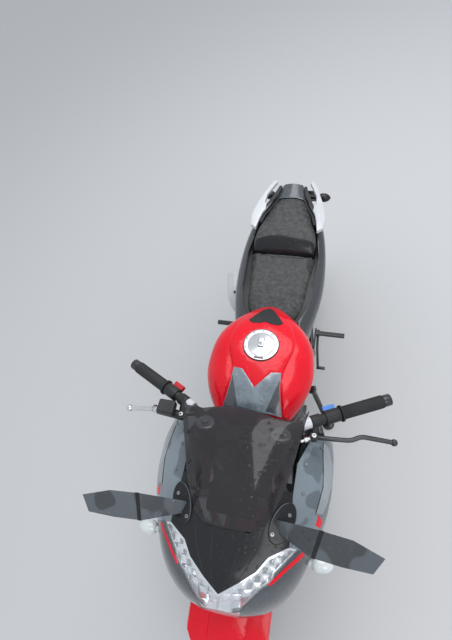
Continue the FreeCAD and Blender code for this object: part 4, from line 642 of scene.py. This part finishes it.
def cushion(name, label, gloss=False):
    """A padded piece in place of a CAD cushion."""
    scene = bpy.context.scene
    floor_way = way(0, 0, -1)
    obj = new_object(name, solid_copy(label, name))
    modify(obj, "REMESH", mode="VOXEL", voxel_size=VOXEL)
    bake(obj)
    mesh = obj.data
    normals = [vertex.normal.copy() for vertex in mesh.vertices]
    for vertex, normal in zip(mesh.vertices, normals):
        vertex.co -= normal * SHRINK
    before = [vertex.co.copy() for vertex in mesh.vertices]
    cloth = modify(obj, "CLOTH").settings
    setup(cloth, use_pressure=True, uniform_pressure_force=PRESSURE, quality=4)
    cloth.effector_weights.gravity = 0
    for number in range(1, BLOW_STEPS + 1):
        scene.frame_set(number)
    bake(obj)
    scene.frame_set(1)
    for vertex, old, normal in zip(obj.data.vertices, before, normals):
        move = vertex.co - old
        if move.length > MOST_MOVE:
            move *= MOST_MOVE / move.length
        if normal.dot(floor_way) > UNDERSIDE:
            move = normal * SHRINK
        vertex.co = old + move
    modify(obj, "SMOOTH", factor=0.5, iterations=3)
    modify(obj, "SUBSURF", levels=1, render_levels=1)
    bake(obj)
    settle(obj, "seat_vinyl", "chassis", (label,), crease=180)
    if gloss:
        obj.data.materials.append(FINISHES["gloss_black"])
        for polygon in obj.data.polygons:
            centre = upright @ polygon.center
            if centre.x > GLOSS_FROM + GLOSS_BEND * centre.y ** 2:
                polygon.material_index = 1
    print(name, len(obj.data.polygons), "faces")


cushion("rider_cushion", "rider_seat")
cushion("pillion_cushion", "pillion_seat", gloss=True)

# %% [markdown]
# A road tyre's tread is cut in slanting grooves that meet near the middle. The tyre is a tube of rings,
# and a rule says how deep each point of the crown lies, so the grooves are real geometry.

# %% Tyres
STEPS_ACROSS, STEPS_AROUND = 34, 720
TREAD_PITCHES, TREAD_DEPTH = 30, 3.6
SLICK_MIDDLE, SLICK_EDGE = 0.10, 0.93
RIM_SEAT, WALL = 219.4, 9
FLANK = ((0.2, 0), (0.32, 0), (0.34, 0.8), (0.5, 0.8), (0.52, 0), (0.8, 0))


def groove_depth(angle, across, half_width):
    """How deep the tread is cut at a place, in millimetres."""
    reach = abs(across) / half_width
    if reach < SLICK_MIDDLE or reach > SLICK_EDGE:
        return 0.0
    phase = angle / (2 * math.pi) * TREAD_PITCHES + (0.5 if across > 0 else 0.0)
    bend = 0.9 * reach - 0.35 * reach * reach
    wide = 0.075 * (1.15 - abs(reach - 0.5))
    cut = 1.0 - min(abs((phase + bend) % 1.0 - 0.5) / wide, 1.0)
    if 0.45 < reach < 0.85:
        cut = max(cut, 1.0 - min(abs((phase + 0.5 + 0.5 * bend) % 1.0 - 0.5) / (wide * 0.8), 1.0))
    return TREAD_DEPTH * min(1.0, 2.2 * cut)


def tyre(label, body, axle, radius, width, bead):
    """A tyre in place of a CAD one: a section of (y, z, way along the crown), carried round the axle."""
    crown = width / 2
    centre = radius - crown
    knee = RIM_SEAT + 10
    flank = [(bead - WALL, RIM_SEAT, 0), (bead, RIM_SEAT, 0), (bead, knee, 0)]
    flank += [(bead + (crown - bead) * share + proud, knee + (centre - knee) * share, 0)
              for share, proud in FLANK]
    angles = [math.pi * step / STEPS_ACROSS for step in range(STEPS_ACROSS + 1)]
    tread = [(crown * math.cos(angle), centre + crown * math.sin(angle), crown * (math.pi / 2 - angle))
             for angle in angles]
    inner = crown - WALL
    inside = [(y * inner, centre + z * inner, 0) for y, z in ((-1, 0), (-0.5, 0.86), (0.5, 0.86), (1, 0))]
    profile = flank + tread + [(-y, z, 0) for y, z, _ in reversed(flank)] + inside
    points = []
    for ring in range(STEPS_AROUND):
        angle = 2 * math.pi * ring / STEPS_AROUND
        for y, z, across in profile:
            share = groove_depth(angle, across, crown * math.pi / 2) / crown
            reach = z - (z - centre) * share
            turned = Vector((reach * math.cos(angle), y * (1 - share), reach * math.sin(angle)))
            points.append(place @ (axle + turned))
    faces = rings_to_faces(STEPS_AROUND, len(profile), closed=True)
    piece(label + "_tread", points, faces, "tyre", body, (label,), 40)
    print(label, len(points), "points")


tyre("front_tyre", "front_wheel", FRONT_AXLE, 293, 110, 40)
tyre("rear_tyre", "rear_wheel", REAR_AXLE, 314, 140, 57)

# %% [markdown]
# Screws, bolt heads and rivets repeat all over the bike. A Geometry Nodes tree puts one modelled screw
# on every point of a little cloud, turned to the point's own axis and scaled to its own radius. The
# instances are realized, and the result is baked to one plain mesh for each body.

# %% Screws by Geometry Nodes
SCREW_RINGS = [(-0.3, 1.0), (0.42, 1.0), (0.62, 0.88), (0.66, 0.52)]
SOCKET_RINGS = [(0.66, 0.46), (0.15, 0.46)]
SOCKET_FLAT = 0.87


def hidden_model(name, points, faces):
    """An object that shows only through its instances."""
    return setup(bpy.data.objects.new(name, new_mesh(name, points, faces)), hide_render=True)


def cap_screw():
    """A cap screw of unit radius: a domed head with a six-sided socket."""
    points = [(x, y, height) for height, radius in SCREW_RINGS for x, y in circle(12, radius)]
    for height, radius in SOCKET_RINGS:
        for k, (x, y) in enumerate(circle(12, radius)):
            share = 1.0 if k % 2 else SOCKET_FLAT
            points.append((x * share, y * share, height))
    return hidden_model("screw_model", points, rings_to_faces(6, 12))


def parts_tree(name, lay_out, **inputs):
    """A tree that sets a part on points, makes the copies real and gives them a finish."""
    tree = bpy.data.node_groups.new(name, "GeometryNodeTree")
    for label, kind in {"Geometry": "Geometry", "Part": "Object", "Finish": "Material", **inputs}.items():
        tree.interface.new_socket(label, in_out="INPUT", socket_type="NodeSocket" + kind)
    tree.interface.new_socket("Geometry", in_out="OUTPUT", socket_type="NodeSocketGeometry")
    given = tree.nodes.new("NodeGroupInput").outputs
    part = add_node(tree, "GeometryNodeObjectInfo", {"Object": given["Part"]})["Geometry"]
    copies = add_node(tree, "GeometryNodeInstanceOnPoints", {"Instance": part, **lay_out(tree, given)})[0]
    real = add_node(tree, "GeometryNodeRealizeInstances", {0: copies})[0]
    painted = add_node(tree, "GeometryNodeSetMaterial", {"Geometry": real, "Material": given["Finish"]})[0]
    add_node(tree, "NodeGroupOutput", {"Geometry": painted})
    return tree


def aligned(tree, inputs, **settings):
    return add_node(tree, "FunctionNodeAlignRotationToVector", inputs, **settings)["Rotation"]


def on_axes(tree, given):
    """The points as they are, each with the axis and the radius that it carries."""
    axis, radius = [
        add_node(tree, "GeometryNodeInputNamedAttribute", {"Name": name}, data_type=kind)["Attribute"]
        for name, kind in (("axis", "FLOAT_VECTOR"), ("radius", "FLOAT"))]
    turned = aligned(tree, {"Vector": axis}, axis="Z")
    return {"Points": given["Geometry"], "Rotation": turned, "Scale": radius}


def run_tree(obj, tree, **values):
    """Put a tree on an object as a modifier, with its inputs set by name."""
    modifier = modify(obj, "NODES", node_group=tree)
    sockets = {item.name: item.identifier for item in tree.interface.items_tree if item.in_out == "INPUT"}
    for label, value in values.items():
        modifier[sockets[label]] = value


SCREW = cap_screw()
SCATTER = parts_tree("scatter_parts", on_axes)


def scatter(name, anchors, body="chassis", finish_name="steel", part=SCREW):
    """Parts on anchors of (point, axis, radius): upright millimetres, an upright direction, millimetres."""
    mesh = new_mesh(name, [place @ Vector(point) for point, _, _ in anchors])
    mesh.attributes.new("axis", "FLOAT_VECTOR", "POINT")
    mesh.attributes.new("radius", "FLOAT", "POINT")
    axes, radii = mesh.attributes["axis"], mesh.attributes["radius"]
    for number, (_, axis, radius) in enumerate(anchors):
        axes.data[number].vector = way(*axis)
        radii.data[number].value = radius * 0.001
    obj = new_object(name, mesh)
    run_tree(obj, SCATTER, Part=part, Finish=FINISHES[finish_name])
    bake(obj)
    settle(obj, finish_name, body)
    print(name, len(anchors), "parts")


# %% [markdown]
# Where the screws sit: four along each side of the windscreen and of the cowls, two in each mirror foot,
# nine round the filler, and five on each brake disc. Each one on a panel is dropped on the surface, so its
# axis is the panel's own normal there.

# %% Screws on panels and discs
FILLER_X, RING_RADIUS, RING_TOP = 89, 45, 935.6
SCREEN_SCREWS = [(560, 70), (515, 97), (460, 114), (400, 127)]
COWL_SCREWS = [(575, 170), (470, 165), (400, 165), (345, 200)]
MIRROR_SCREWS = [(575, 104), (527, 138)]


def on_panel(label, places, radius):
    """Anchors on a panel, on both sides of the bike."""
    drops_on = [dropped(label, x, side * y) for x, y in places for side in (1, -1)]
    return [(hit, normal, radius) for hit, normal in drops_on if hit is not None]


def bolt_ring(x, y, z, reach, count, way_out):
    """Anchors in a ring about a line across the bike."""
    return [((x + ahead, y, z + above), (0, way_out, 0), 5.0) for ahead, above in circle(count, reach)]


scatter("screen_screws", on_panel("windscreen", SCREEN_SCREWS, 4.0), finish_name="black_plastic")
scatter("panel_screws", on_panel("side_cowls", COWL_SCREWS, 4.5) + on_panel("mirrors", MIRROR_SCREWS, 5.0))
scatter("filler_screws", [((FILLER_X + x, y, RING_TOP), (0, 0, 1), 2.6)
                          for x, y in circle(10, RING_RADIUS)[1:]])
scatter("front_disc_screws", bolt_ring(FRONT_AXLE.x, -60.5, FRONT_AXLE.z, 27, 5, -1), "front_wheel")
scatter("rear_disc_screws", bolt_ring(REAR_AXLE.x, -80.5, REAR_AXLE.z, 27, 5, -1), "rear_wheel")

# %% [markdown]
# The drive chain is a row of links of one pitch along a closed line round both sprockets. A curve
# follows that line, the tree resamples it into one point for each pair of links and sets a pair there,
# turned along the curve.

# %% Drive chain by Geometry Nodes
PITCH = 15.875
CHAIN_Y = 88.0
REAR_TEETH, FRONT_TEETH = 38, 15
GEARBOX = Vector((-125, 0, 350))
PLATES = [(0, (-0.0079, 0.0061), 0.0018), (PITCH / 1000, (-0.0059, 0.0042), 0.0017)]
PIN_AND_ROLLER = [(0.0086, 0.0026, 8), (0.0040, 0.0050, 10)]
PLATE_END, PLATE_WAIST = 0.0064, 0.0052


def pitch_radius(teeth):
    return PITCH / (2 * math.sin(math.pi / teeth))


def chain_line():
    """The closed line that the pins follow, in upright millimetres."""
    rear, front = pitch_radius(REAR_TEETH), pitch_radius(FRONT_TEETH)
    span = GEARBOX - REAR_AXLE
    slope = math.atan2(span.z, span.x)
    opening = math.acos((rear - front) / math.hypot(span.x, span.z))
    arcs = ((GEARBOX, front, slope + opening, slope - opening, 30),
            (REAR_AXLE, rear, slope - opening, slope + opening - 2 * math.pi, 60))
    points = []
    for centre, radius, first, last, steps in arcs:
        for step in range(steps + 1):
            angle = first + (last - first) * step / steps
            points.append(Vector((centre.x + radius * math.cos(angle), CHAIN_Y,
                                  centre.z + radius * math.sin(angle))))
    return points


def chain_links():
    """Outer plates, inner plates, pins and rollers of one pair of links, in metres, X along the chain."""
    half_step = PITCH / 2000
    parts = []

    def add_prism(outline, low, high):
        points = [(x, y, z) for y in (low, high) for x, z in outline]
        parts.append((points, rings_to_faces(2, len(outline))))

    for middle, sides, thick in PLATES:
        outline = []
        for cosine, sine in circle(12):
            end = half_step if cosine > 0.01 else -half_step
            wide = PLATE_END if abs(cosine) > 0.3 else PLATE_WAIST
            outline.append((middle + end + wide * cosine, wide * sine))
        for y in sides:
            add_prism(outline, y, y + thick)
    for middle in (-half_step, half_step):
        for half, radius, sides in PIN_AND_ROLLER:
            add_prism([(middle + x, z) for x, z in circle(sides, radius)], -half, half)
    return hidden_model("link_model", *joined(parts))


def along_curve(tree, given):
    """Even points on the curve, with the part's X along it and its Y to the side."""
    even = add_node(tree, "GeometryNodeResampleCurve", {"Curve": given["Geometry"], "Count": given["Pairs"]})
    tangent = add_node(tree, "GeometryNodeInputTangent", {})[0]
    sideways = aligned(tree, {"Vector": given["Side"]}, axis="Y")
    turned = aligned(tree, {"Rotation": sideways, "Vector": tangent}, axis="X", pivot_axis="Y")
    return {"Points": even[0], "Rotation": turned}


line = chain_line()
line_length = sum((after - before).length for before, after in zip(line, line[1:] + line[:1]))
pairs = round(line_length / PITCH / 2)
curve = setup(bpy.data.curves.new("drive_chain", "CURVE"), dimensions="3D")
spline = curve.splines.new("POLY")
spline.points.add(len(line) - 1)
for point, where in zip(spline.points, line):
    point.co = (*(place @ where), 1)
spline.use_cyclic_u = True
drive_chain = new_object("drive_chain", curve)
chain_tree = parts_tree("links_on_line", along_curve, Pairs="Int", Side="Vector")
run_tree(drive_chain, chain_tree, Part=chain_links(), Pairs=pairs, Side=tuple(way(0, 1, 0)),
         Finish=FINISHES["steel"])
links_mesh = evaluated_mesh(drive_chain)
bpy.data.objects.remove(drive_chain)
settle(new_object("drive_chain", links_mesh), "steel", "chassis", ("chain",), 50)
print("chain", pairs * 2, "links,", len(links_mesh.polygons), "faces")

# %% [markdown]
# The tank carries a grey cover with two dark facets and a ribbed rubber pad behind the filler, and a black
# rubber ring round the filler ring paints the shade of the gap under the cap. A thin skin laid on the CAD
# surface follows its curves: its outline is cut into small cells in plan, and each corner of a cell drops on
# the tank.

# %% Trim of the tank
COVER_FACET = [(186, -68), (206, -69), (246, -76), (274, -84), (272, -40)]
PAD_HALF = [(5, 0), (13, 20), (12, 42), (0, 53), (-20, 40), (-46, 24), (-64, 12), (-72, 0)]
PAD_FAN_X, PAD_RIBS, RIB_HEIGHT = -95, 44, 0.9
SHADE_RING_RADIUS = 51.5


def pad_ribs(x, y):
    """Ribs that fan out from behind the pad."""
    return RIB_HEIGHT if math.cos(math.atan2(y, x - PAD_FAN_X) * PAD_RIBS) > 0 else 0.0


piece("cover_facets", *laid_pair("tank_cover", COVER_FACET, 0.35), "dark_gloss")
pad_outline = PAD_HALF + [(x, -y) for x, y in reversed(PAD_HALF[1:-1])]
piece("tank_pad", *laid_on("fuel_tank", pad_outline, 0.8, 3.0, pad_ribs), "rubber")
# A black rubber ring round the filler ring: painted shade of the gap under the cap.
shade_ring_line = dropped_line("fuel_tank", [(FILLER_X + x, y) for x, y in circle(72, SHADE_RING_RADIUS)], 0.2)
piece("filler_gap", *round_tube(shade_ring_line, 1.7, closed=True), "rubber")
lock = turned_piece((88, 0, 940.5), (88, 0, 942), [(0, 5.5), (1.2, 5.5), (1.6, 4.6)], 24)
piece("filler_lock", *lock, "steel", "fuel_cap")
# The gloss black block on the lock paints the shade inside the key slot.
slot = block([(83.5, -0.8), (92.5, -0.8), (92.5, 0.8), (83.5, 0.8)], 941.5, 942.4)
piece("filler_key_slot", *slot, "gloss_black", "fuel_cap")
print("tank trim", 5)

# %% [markdown]
# Under the clear skin of the headlight sits a silvered bowl with square facets. Two rows of shallow
# pyramids on each arm of the V give its broken glitter. They are instances again, dropped on the lens
# and pushed a set depth below it.

# %% Facets of the headlight
LAMP_LINE = [(601, 134), (622, 122), (643, 109), (664, 96), (684, 80), (702, 62), (715, 40), (722, 14)]
FACET_DEPTH, FACET_HALF, ROW_OFFSET = 13.0, 10.0, 11
FACET_RINGS = [(-0.5, 1.0), (0.0, 1.0), (0.42, 0.18)]

pyramid = [(radius * x, radius * y, height) for height, radius in FACET_RINGS
           for x, y in ((-1, -1), (1, -1), (1, 1), (-1, 1))]
facet = hidden_model("facet_model", pyramid, rings_to_faces(3, 4))
facet_anchors = []
for number, (x, y) in enumerate(LAMP_LINE):
    before = Vector(LAMP_LINE[max(number - 1, 0)])
    after = Vector(LAMP_LINE[min(number + 1, len(LAMP_LINE) - 1)])
    run = (after - before).normalized()
    for offset in (-ROW_OFFSET, ROW_OFFSET):
        places = [(x + run.y * offset, y - run.x * offset)]
        facet_anchors += [(hit - normal * FACET_DEPTH, normal, radius)
                          for hit, normal, radius in on_panel("headlight", places, FACET_HALF)]
scatter("lamp_facets", facet_anchors, finish_name="reflector", part=facet)

# %% [markdown]
# Under both seats a black tray closes the tail, so that no daylight shows beside the cushions. The inner
# arms of the grab rails are black on top, as far as the photograph shows.

# %% Tray under the seats, rail arms
TRAY = [(-70, 60), (-120, 108), (-260, 138), (-430, 136), (-540, 112), (-620, 84), (-700, 34)]
RIM = [(-500, 112), (-540, 104), (-600, 74), (-650, 55), (-650, 42), (-600, 60), (-540, 88), (-500, 98)]
RAIL_INNER_ARM = [(-583, 92), (-600, 84.5), (-655, 64.5), (-692, 54.5), (-692, 43), (-640, 53), (-600, 69),
                  (-556, 91)]
TRAY_HEIGHTS, RIM_HEIGHTS = (772, 775), (826, 837)
tray_outline = TRAY + [(x, -y) for x, y in reversed(TRAY)]
trays = [block(tray_outline, *TRAY_HEIGHTS)] + [block(rim, *RIM_HEIGHTS) for rim in both_sides(RIM)]
piece("seat_tray", *joined(trays), "black_plastic")
piece("rail_arm_tops", *laid_pair("grab_rails", RAIL_INNER_ARM, 0.3, 10.0), "black_plastic")
print("tray", len(tray_outline), "corners")

# %% [markdown]
# Thin coloured lines run along the headlight, the outer bands of the cowls are paler than their tops, a
# dark seam parts the two, and finer seams mark the folds of the beak. The lines and bands are skins on the
# panels again, and the seams are thin tubes dropped on them. All are drawn once and mirrored.

# %% Stripes, bands and seams of the fairing
STRIPE = [(597, 184), (614, 171), (636, 150), (657, 132), (676, 115), (677, 108), (655, 125), (634, 143),
          (611, 163), (594, 177)]
LOW_SPOT = [(506, 208), (516, 220), (532, 214), (530, 202)]
BAND_INNER = [(326, 203), (362, 205), (398, 209), (440, 212), (480, 205), (506, 200)]
BAND_OUTER = [(500, 218), (470, 228), (435, 233), (398, 233), (362, 228), (334, 220)]
BEAK_SEAM = [(548, 88), (590, 80), (625, 70), (652, 57), (678, 43), (694, 34)]
BEAK_RIDGE = [(600, 34), (640, 30), (680, 22), (706, 12)]
FRONT_PANELS = ("cheeks", "side_cowls", "beak", "headlight", "nose_cowl")


def seams(label, lines, lift, radius):
    """A thin tube along each line, on both sides of the bike, as one."""
    return joined([round_tube(dropped_line(label, [(x, y * side) for x, y in points], lift), radius)
                   for points in lines for side in (1, -1)])


stripes = joined([laid_pair(FRONT_PANELS, shape, 0.4, 6.0) for shape in (STRIPE, LOW_SPOT)])
piece("fairing_stripes", *stripes, "red_paint")
piece("cowl_bands", *laid_pair("side_cowls", BAND_INNER + BAND_OUTER, 0.4), "pale_slate")
piece("cowl_seams", *seams("side_cowls", [BAND_INNER], 0.1, 1.3), "rubber")
piece("beak_seams", *seams("beak", [BEAK_SEAM, BEAK_RIDGE], -0.2, 1.1), "rubber")
print("fairing trim", 4)

# %% [markdown]
# The glass of each mirror is a thin plate on the back of its blade, a little inside the rim. A rubber bead
# runs round the oval foot, and a black band closes the blade's root. They follow the CAD blade, whose slices
# are repeated here.

# %% Mirrors
BLADE = [(582, 200, 985, 6, 52), (588, 268, 989, 8, 51), (600, 330, 996, 10, 31)]
BLADE_CORNERS = [(-0.46, 0.46), (0.54, -0.19), (0.46, -0.38), (-0.38, -0.58)]
GLASS_EDGE = [(0.12, 0.12), (1, 0.10), (1.85, 0.16), (1.9, 0.5), (1.85, 0.84), (1, 0.90), (0.12, 0.88)]
GLASS_BACK, GLASS_FRONT = 1.1, 0.6
BAND_FROM, BAND_TO, BAND_GROWTH = 0.0, 0.14, 1.03
FOOT, FOOT_HALF, FOOT_TURN, FOOT_THICK = (546, 124), (48, 23), math.radians(-20), 6.5
BEAD_LIFT, BEAD_RADIUS = 2.0, 3.0


def blade_corner(along, ahead, above):
    """A point of the left blade: along runs 0 to 2 over its slices, the others are shares of its chord."""
    first = min(int(along), 1)
    share = along - first
    x, y, z, slant, chord = [a + (b - a) * share for a, b in zip(BLADE[first], BLADE[first + 1])]
    return Vector((x + ahead * chord, y - 2 * slant * ahead, z + above * chord))


def blade_point(along, down):
    """A point of the back of the left blade, from its top at 0 to its foot at 1."""
    top, foot = BLADE_CORNERS[0], BLADE_CORNERS[3]
    return blade_corner(along, top[0] + (foot[0] - top[0]) * down, top[1] + (foot[1] - top[1]) * down)


glasses, bands, beads, feet = [], [], [], []
for side in (1, -1):
    edge = [blade_point(along, down) for along, down in GLASS_EDGE]
    glasses.append(([spot(x + step, y * side, z) for step in (-GLASS_BACK, GLASS_FRONT) for x, y, z in edge],
                    rings_to_faces(2, len(edge))))
    corners = [blade_corner(along, ahead * BAND_GROWTH, above * BAND_GROWTH) for along in (BAND_FROM, BAND_TO)
               for ahead, above in BLADE_CORNERS]
    bands.append(([spot(x, y * side, z) for x, y, z in corners], rings_to_faces(2, len(BLADE_CORNERS))))
    oval = []
    for cosine, sine in circle(48):
        across = Vector((FOOT_HALF[0] * cosine, FOOT_HALF[1] * sine * side))
        across.rotate(Matrix.Rotation(FOOT_TURN, 2))
        oval.append((FOOT[0] + across.x, (FOOT[1] + across.y) * side))
    beads.append(round_tube(dropped_line(FRONT_PANELS, oval, BEAD_LIFT), BEAD_RADIUS, closed=True))
    feet.append(laid_on(FRONT_PANELS, oval, FOOT_THICK, 10.0))
piece("mirror_glass", *joined(glasses), "chrome")
piece("mirror_bands", *joined(bands), "gloss_black")
piece("mirror_beads", *joined(beads), "rubber")
piece("mirror_feet", *joined(feet), "gloss_black")
print("mirrors dressed")

# %% [markdown]
# The handlebars carry ribbed grips, a red and a blue switch, a silver sleeve, a cable adjuster on the
# clutch side and a knurled one on the brake lever. Their places are given along the bar, behind it and
# above it, so each piece is made once and mirrored.

# %% Handlebars
BAR_ROOT, BAR_END = Vector((340, 100, 962)), Vector((218, 334, 938))
BAR_WAY = (BAR_END - BAR_ROOT).normalized()
BAR_BACK = Vector((-BAR_WAY.y, BAR_WAY.x, 0)).normalized()
BAR_UP = BAR_BACK.cross(BAR_WAY)
GRIP_START, GRIP_LENGTH, GRIP_RIBS = 153.5, 118, 18
SLEEVE = [(0, 13), (1, 15), (22, 15), (23, 13)]
SWITCH = (118, 150, (14, 33), (7, 19))
LEVER_PIVOT = Vector((338, 176, 940))
ADJUSTER = [(0, 5), (7, 5), (8, 7), (16, 7), (17, 4), (26, 4)]
CABLE = ((14, -27, -2), (26, -46, -4), (35, -58, -14), (37, -66, -40), (35, -70, -78))


def bar_spot(along, back=0.0, above=0.0, side=1):
    """A point near a handlebar: along the bar from its root, behind it and above it."""
    point = BAR_ROOT + BAR_WAY * along + BAR_BACK * back + BAR_UP * above
    return Vector((point.x, point.y * side, point.z))


def bar_block(first, last, back, above, side):
    points = [place @ bar_spot(along, back[i], above[j], side) for along in (first, last)
              for i, j in ((0, 0), (1, 0), (1, 1), (0, 1))]
    return points, rings_to_faces(2, 4)


def on_both_bars(first, last, profile):
    """A turned part round each bar, between two places along it."""
    return joined([turned_piece(bar_spot(first, side=side), bar_spot(last, side=side), profile, 28)
                   for side in (1, -1)])


rib_profile = [(0, 12.2), (0, 21.5), (5, 21.5), (6, 17.4)]
for rib in range(GRIP_RIBS):
    at = 9 + rib * (GRIP_LENGTH - 12) / GRIP_RIBS
    rib_profile += [(at, 17.4), (at + 0.8, 16.7), (at + 2.6, 16.7), (at + 3.4, 17.4)]
rib_profile += [(GRIP_LENGTH - 1, 17.2), (GRIP_LENGTH, 15.5), (GRIP_LENGTH, 12.2)]
grips = on_both_bars(GRIP_START, GRIP_START + GRIP_LENGTH, rib_profile)
piece("ribbed_grips", *grips, "rubber", "steering", ("grips",), 50)
piece("bar_sleeves", *on_both_bars(50, 76, SLEEVE), "rail_silver", "steering")
piece("blue_switch", *bar_block(*SWITCH, 1), "blue_switch", "steering")
piece("red_switch", *bar_block(*SWITCH, -1), "red_switch", "steering")
adjuster = turned_piece(LEVER_PIVOT + Vector((4, -8, -1)), LEVER_PIVOT + Vector((16, -30, -2)), ADJUSTER, 20)
knurl = [(0, 8)] + [(1 + k * 1.5, 10 if k % 2 else 8.6) for k in range(9)] + [(14, 8)]
brake_adjuster = turned_piece((329, -249, 934), (327, -262, 933), knurl, 28)
piece("lever_adjusters", *joined([adjuster, brake_adjuster]), "aluminium", "steering")
cable_line = [LEVER_PIVOT + Vector(step) for step in CABLE]
piece("clutch_cable", *round_tube(cable_line, 3.2), "rubber", "steering")
bar_screws = []
for side in (1, -1):
    for along, back, above in ((80, 10, 13), (92, 10, 13), (140, 4, 17.6)):
        axis = BAR_BACK * back + BAR_UP * above
        bar_screws.append((bar_spot(along, back, above, side), (axis.x, axis.y * side, axis.z), 3.4))
    bar_screws.append(((LEVER_PIVOT.x, LEVER_PIVOT.y * side, LEVER_PIVOT.z + 9), (0, 0, 1), 6.5))
scatter("bar_screws", bar_screws, "steering")

# %% [markdown]
# Seen through the dark screen are the two fork caps and the nut of the steering stem: round, bright, with
# rings turned into them. The nut is a ring, because the stem under it stays open for a holder. Two pale
# plates lie under the screen too.

# %% Fork caps, stem nut and plates
LEG_WAY = Vector((-math.sin(math.radians(25)), 0, math.cos(math.radians(25))))
LEG_TOP, LEG_Y = 760, 97
CAP_PROFILE = [(-2, 18), (2, 24), (5, 24), (7, 21), (7, 17), (8.5, 16), (8.5, 12), (6.5, 11), (6.5, 9),
               (14, 8.5), (14, 1)]
NUT_PROFILE = [(0, 9.5), (0, 21), (6, 21), (7, 19), (7, 16), (10, 15), (10, 9.5)]
BESIDE_BORE = Vector((0, 14, 0))
PLATES_UNDER_SCREEN = [[(518, -108), (506, -62), (517, -50), (531, -79)],
                       [(503, 56), (503, 74), (518, 88), (530, 58)]]

leg_tops = [FRONT_AXLE + Vector((0, LEG_Y * side, 0)) + LEG_WAY * LEG_TOP for side in (1, -1)]
fork_caps = joined([turned_piece(top, top + LEG_WAY, CAP_PROFILE, 40) for top in leg_tops])
piece("fork_caps", *fork_caps, "aluminium", "steering")
stem_point = upright @ Vector(joints["steering_turn"]["pos_m"])
stem_way = (turn.transposed() @ Vector(joints["steering_turn"]["axis"])).normalized()
hit, _, _, _ = surface_of("fork_clamps").ray_cast(stem_point + stem_way * 900 + BESIDE_BORE, -stem_way)
nut_at = hit - BESIDE_BORE
stem_nut = turned_piece(nut_at, nut_at + stem_way, NUT_PROFILE, 40, ring=True)
piece("stem_nut", *stem_nut, "aluminium", "steering")
piece("dash_plates", *joined([block(outline, 926, 929) for outline in PLATES_UNDER_SCREEN]), "pale_plate")
print("under the screen", 4)

# %% [markdown]
# The rest is seen from the sides: bolts round the engine covers, the slats of the radiator, a bolt on the
# silencer, and the two that hold a number plate, which stays blank.

# %% Engine, radiator, silencer and plate
CASE_HALF = 115.0
SLATS, SLAT_PITCH, SLAT_THICK = 26, 8.0, 1.4
SLAT_PLAN = [(359, -112), (362.5, -112), (362.5, 112), (359, 112)]
PLATE_TURN = math.radians(24)

engine_bolts = bolt_ring(-10, -CASE_HALF - 30, 338, 66, 9, -1) + bolt_ring(84, CASE_HALF + 32, 330, 55, 8, 1)
scatter("engine_bolts", engine_bolts)
slat_feet = [482 + k * SLAT_PITCH for k in range(SLATS)]
piece("radiator_slats", *joined([block(SLAT_PLAN, foot, foot + SLAT_THICK) for foot in slat_feet]), "steel")
cosine, sine = math.cos(PLATE_TURN), math.sin(PLATE_TURN)
plate_bolts = [((-950 - 2 * cosine + 30 * sine, y, 575 + 2 * sine + 30 * cosine), (-cosine, 0, sine), 4.5)
               for y in (-60, 60)]
scatter("plate_bolts", plate_bolts)
scatter("silencer_bolts", [((-391, -217, 508), (0.42, 0, 0.91), 6.0)], finish_name="gloss_black")
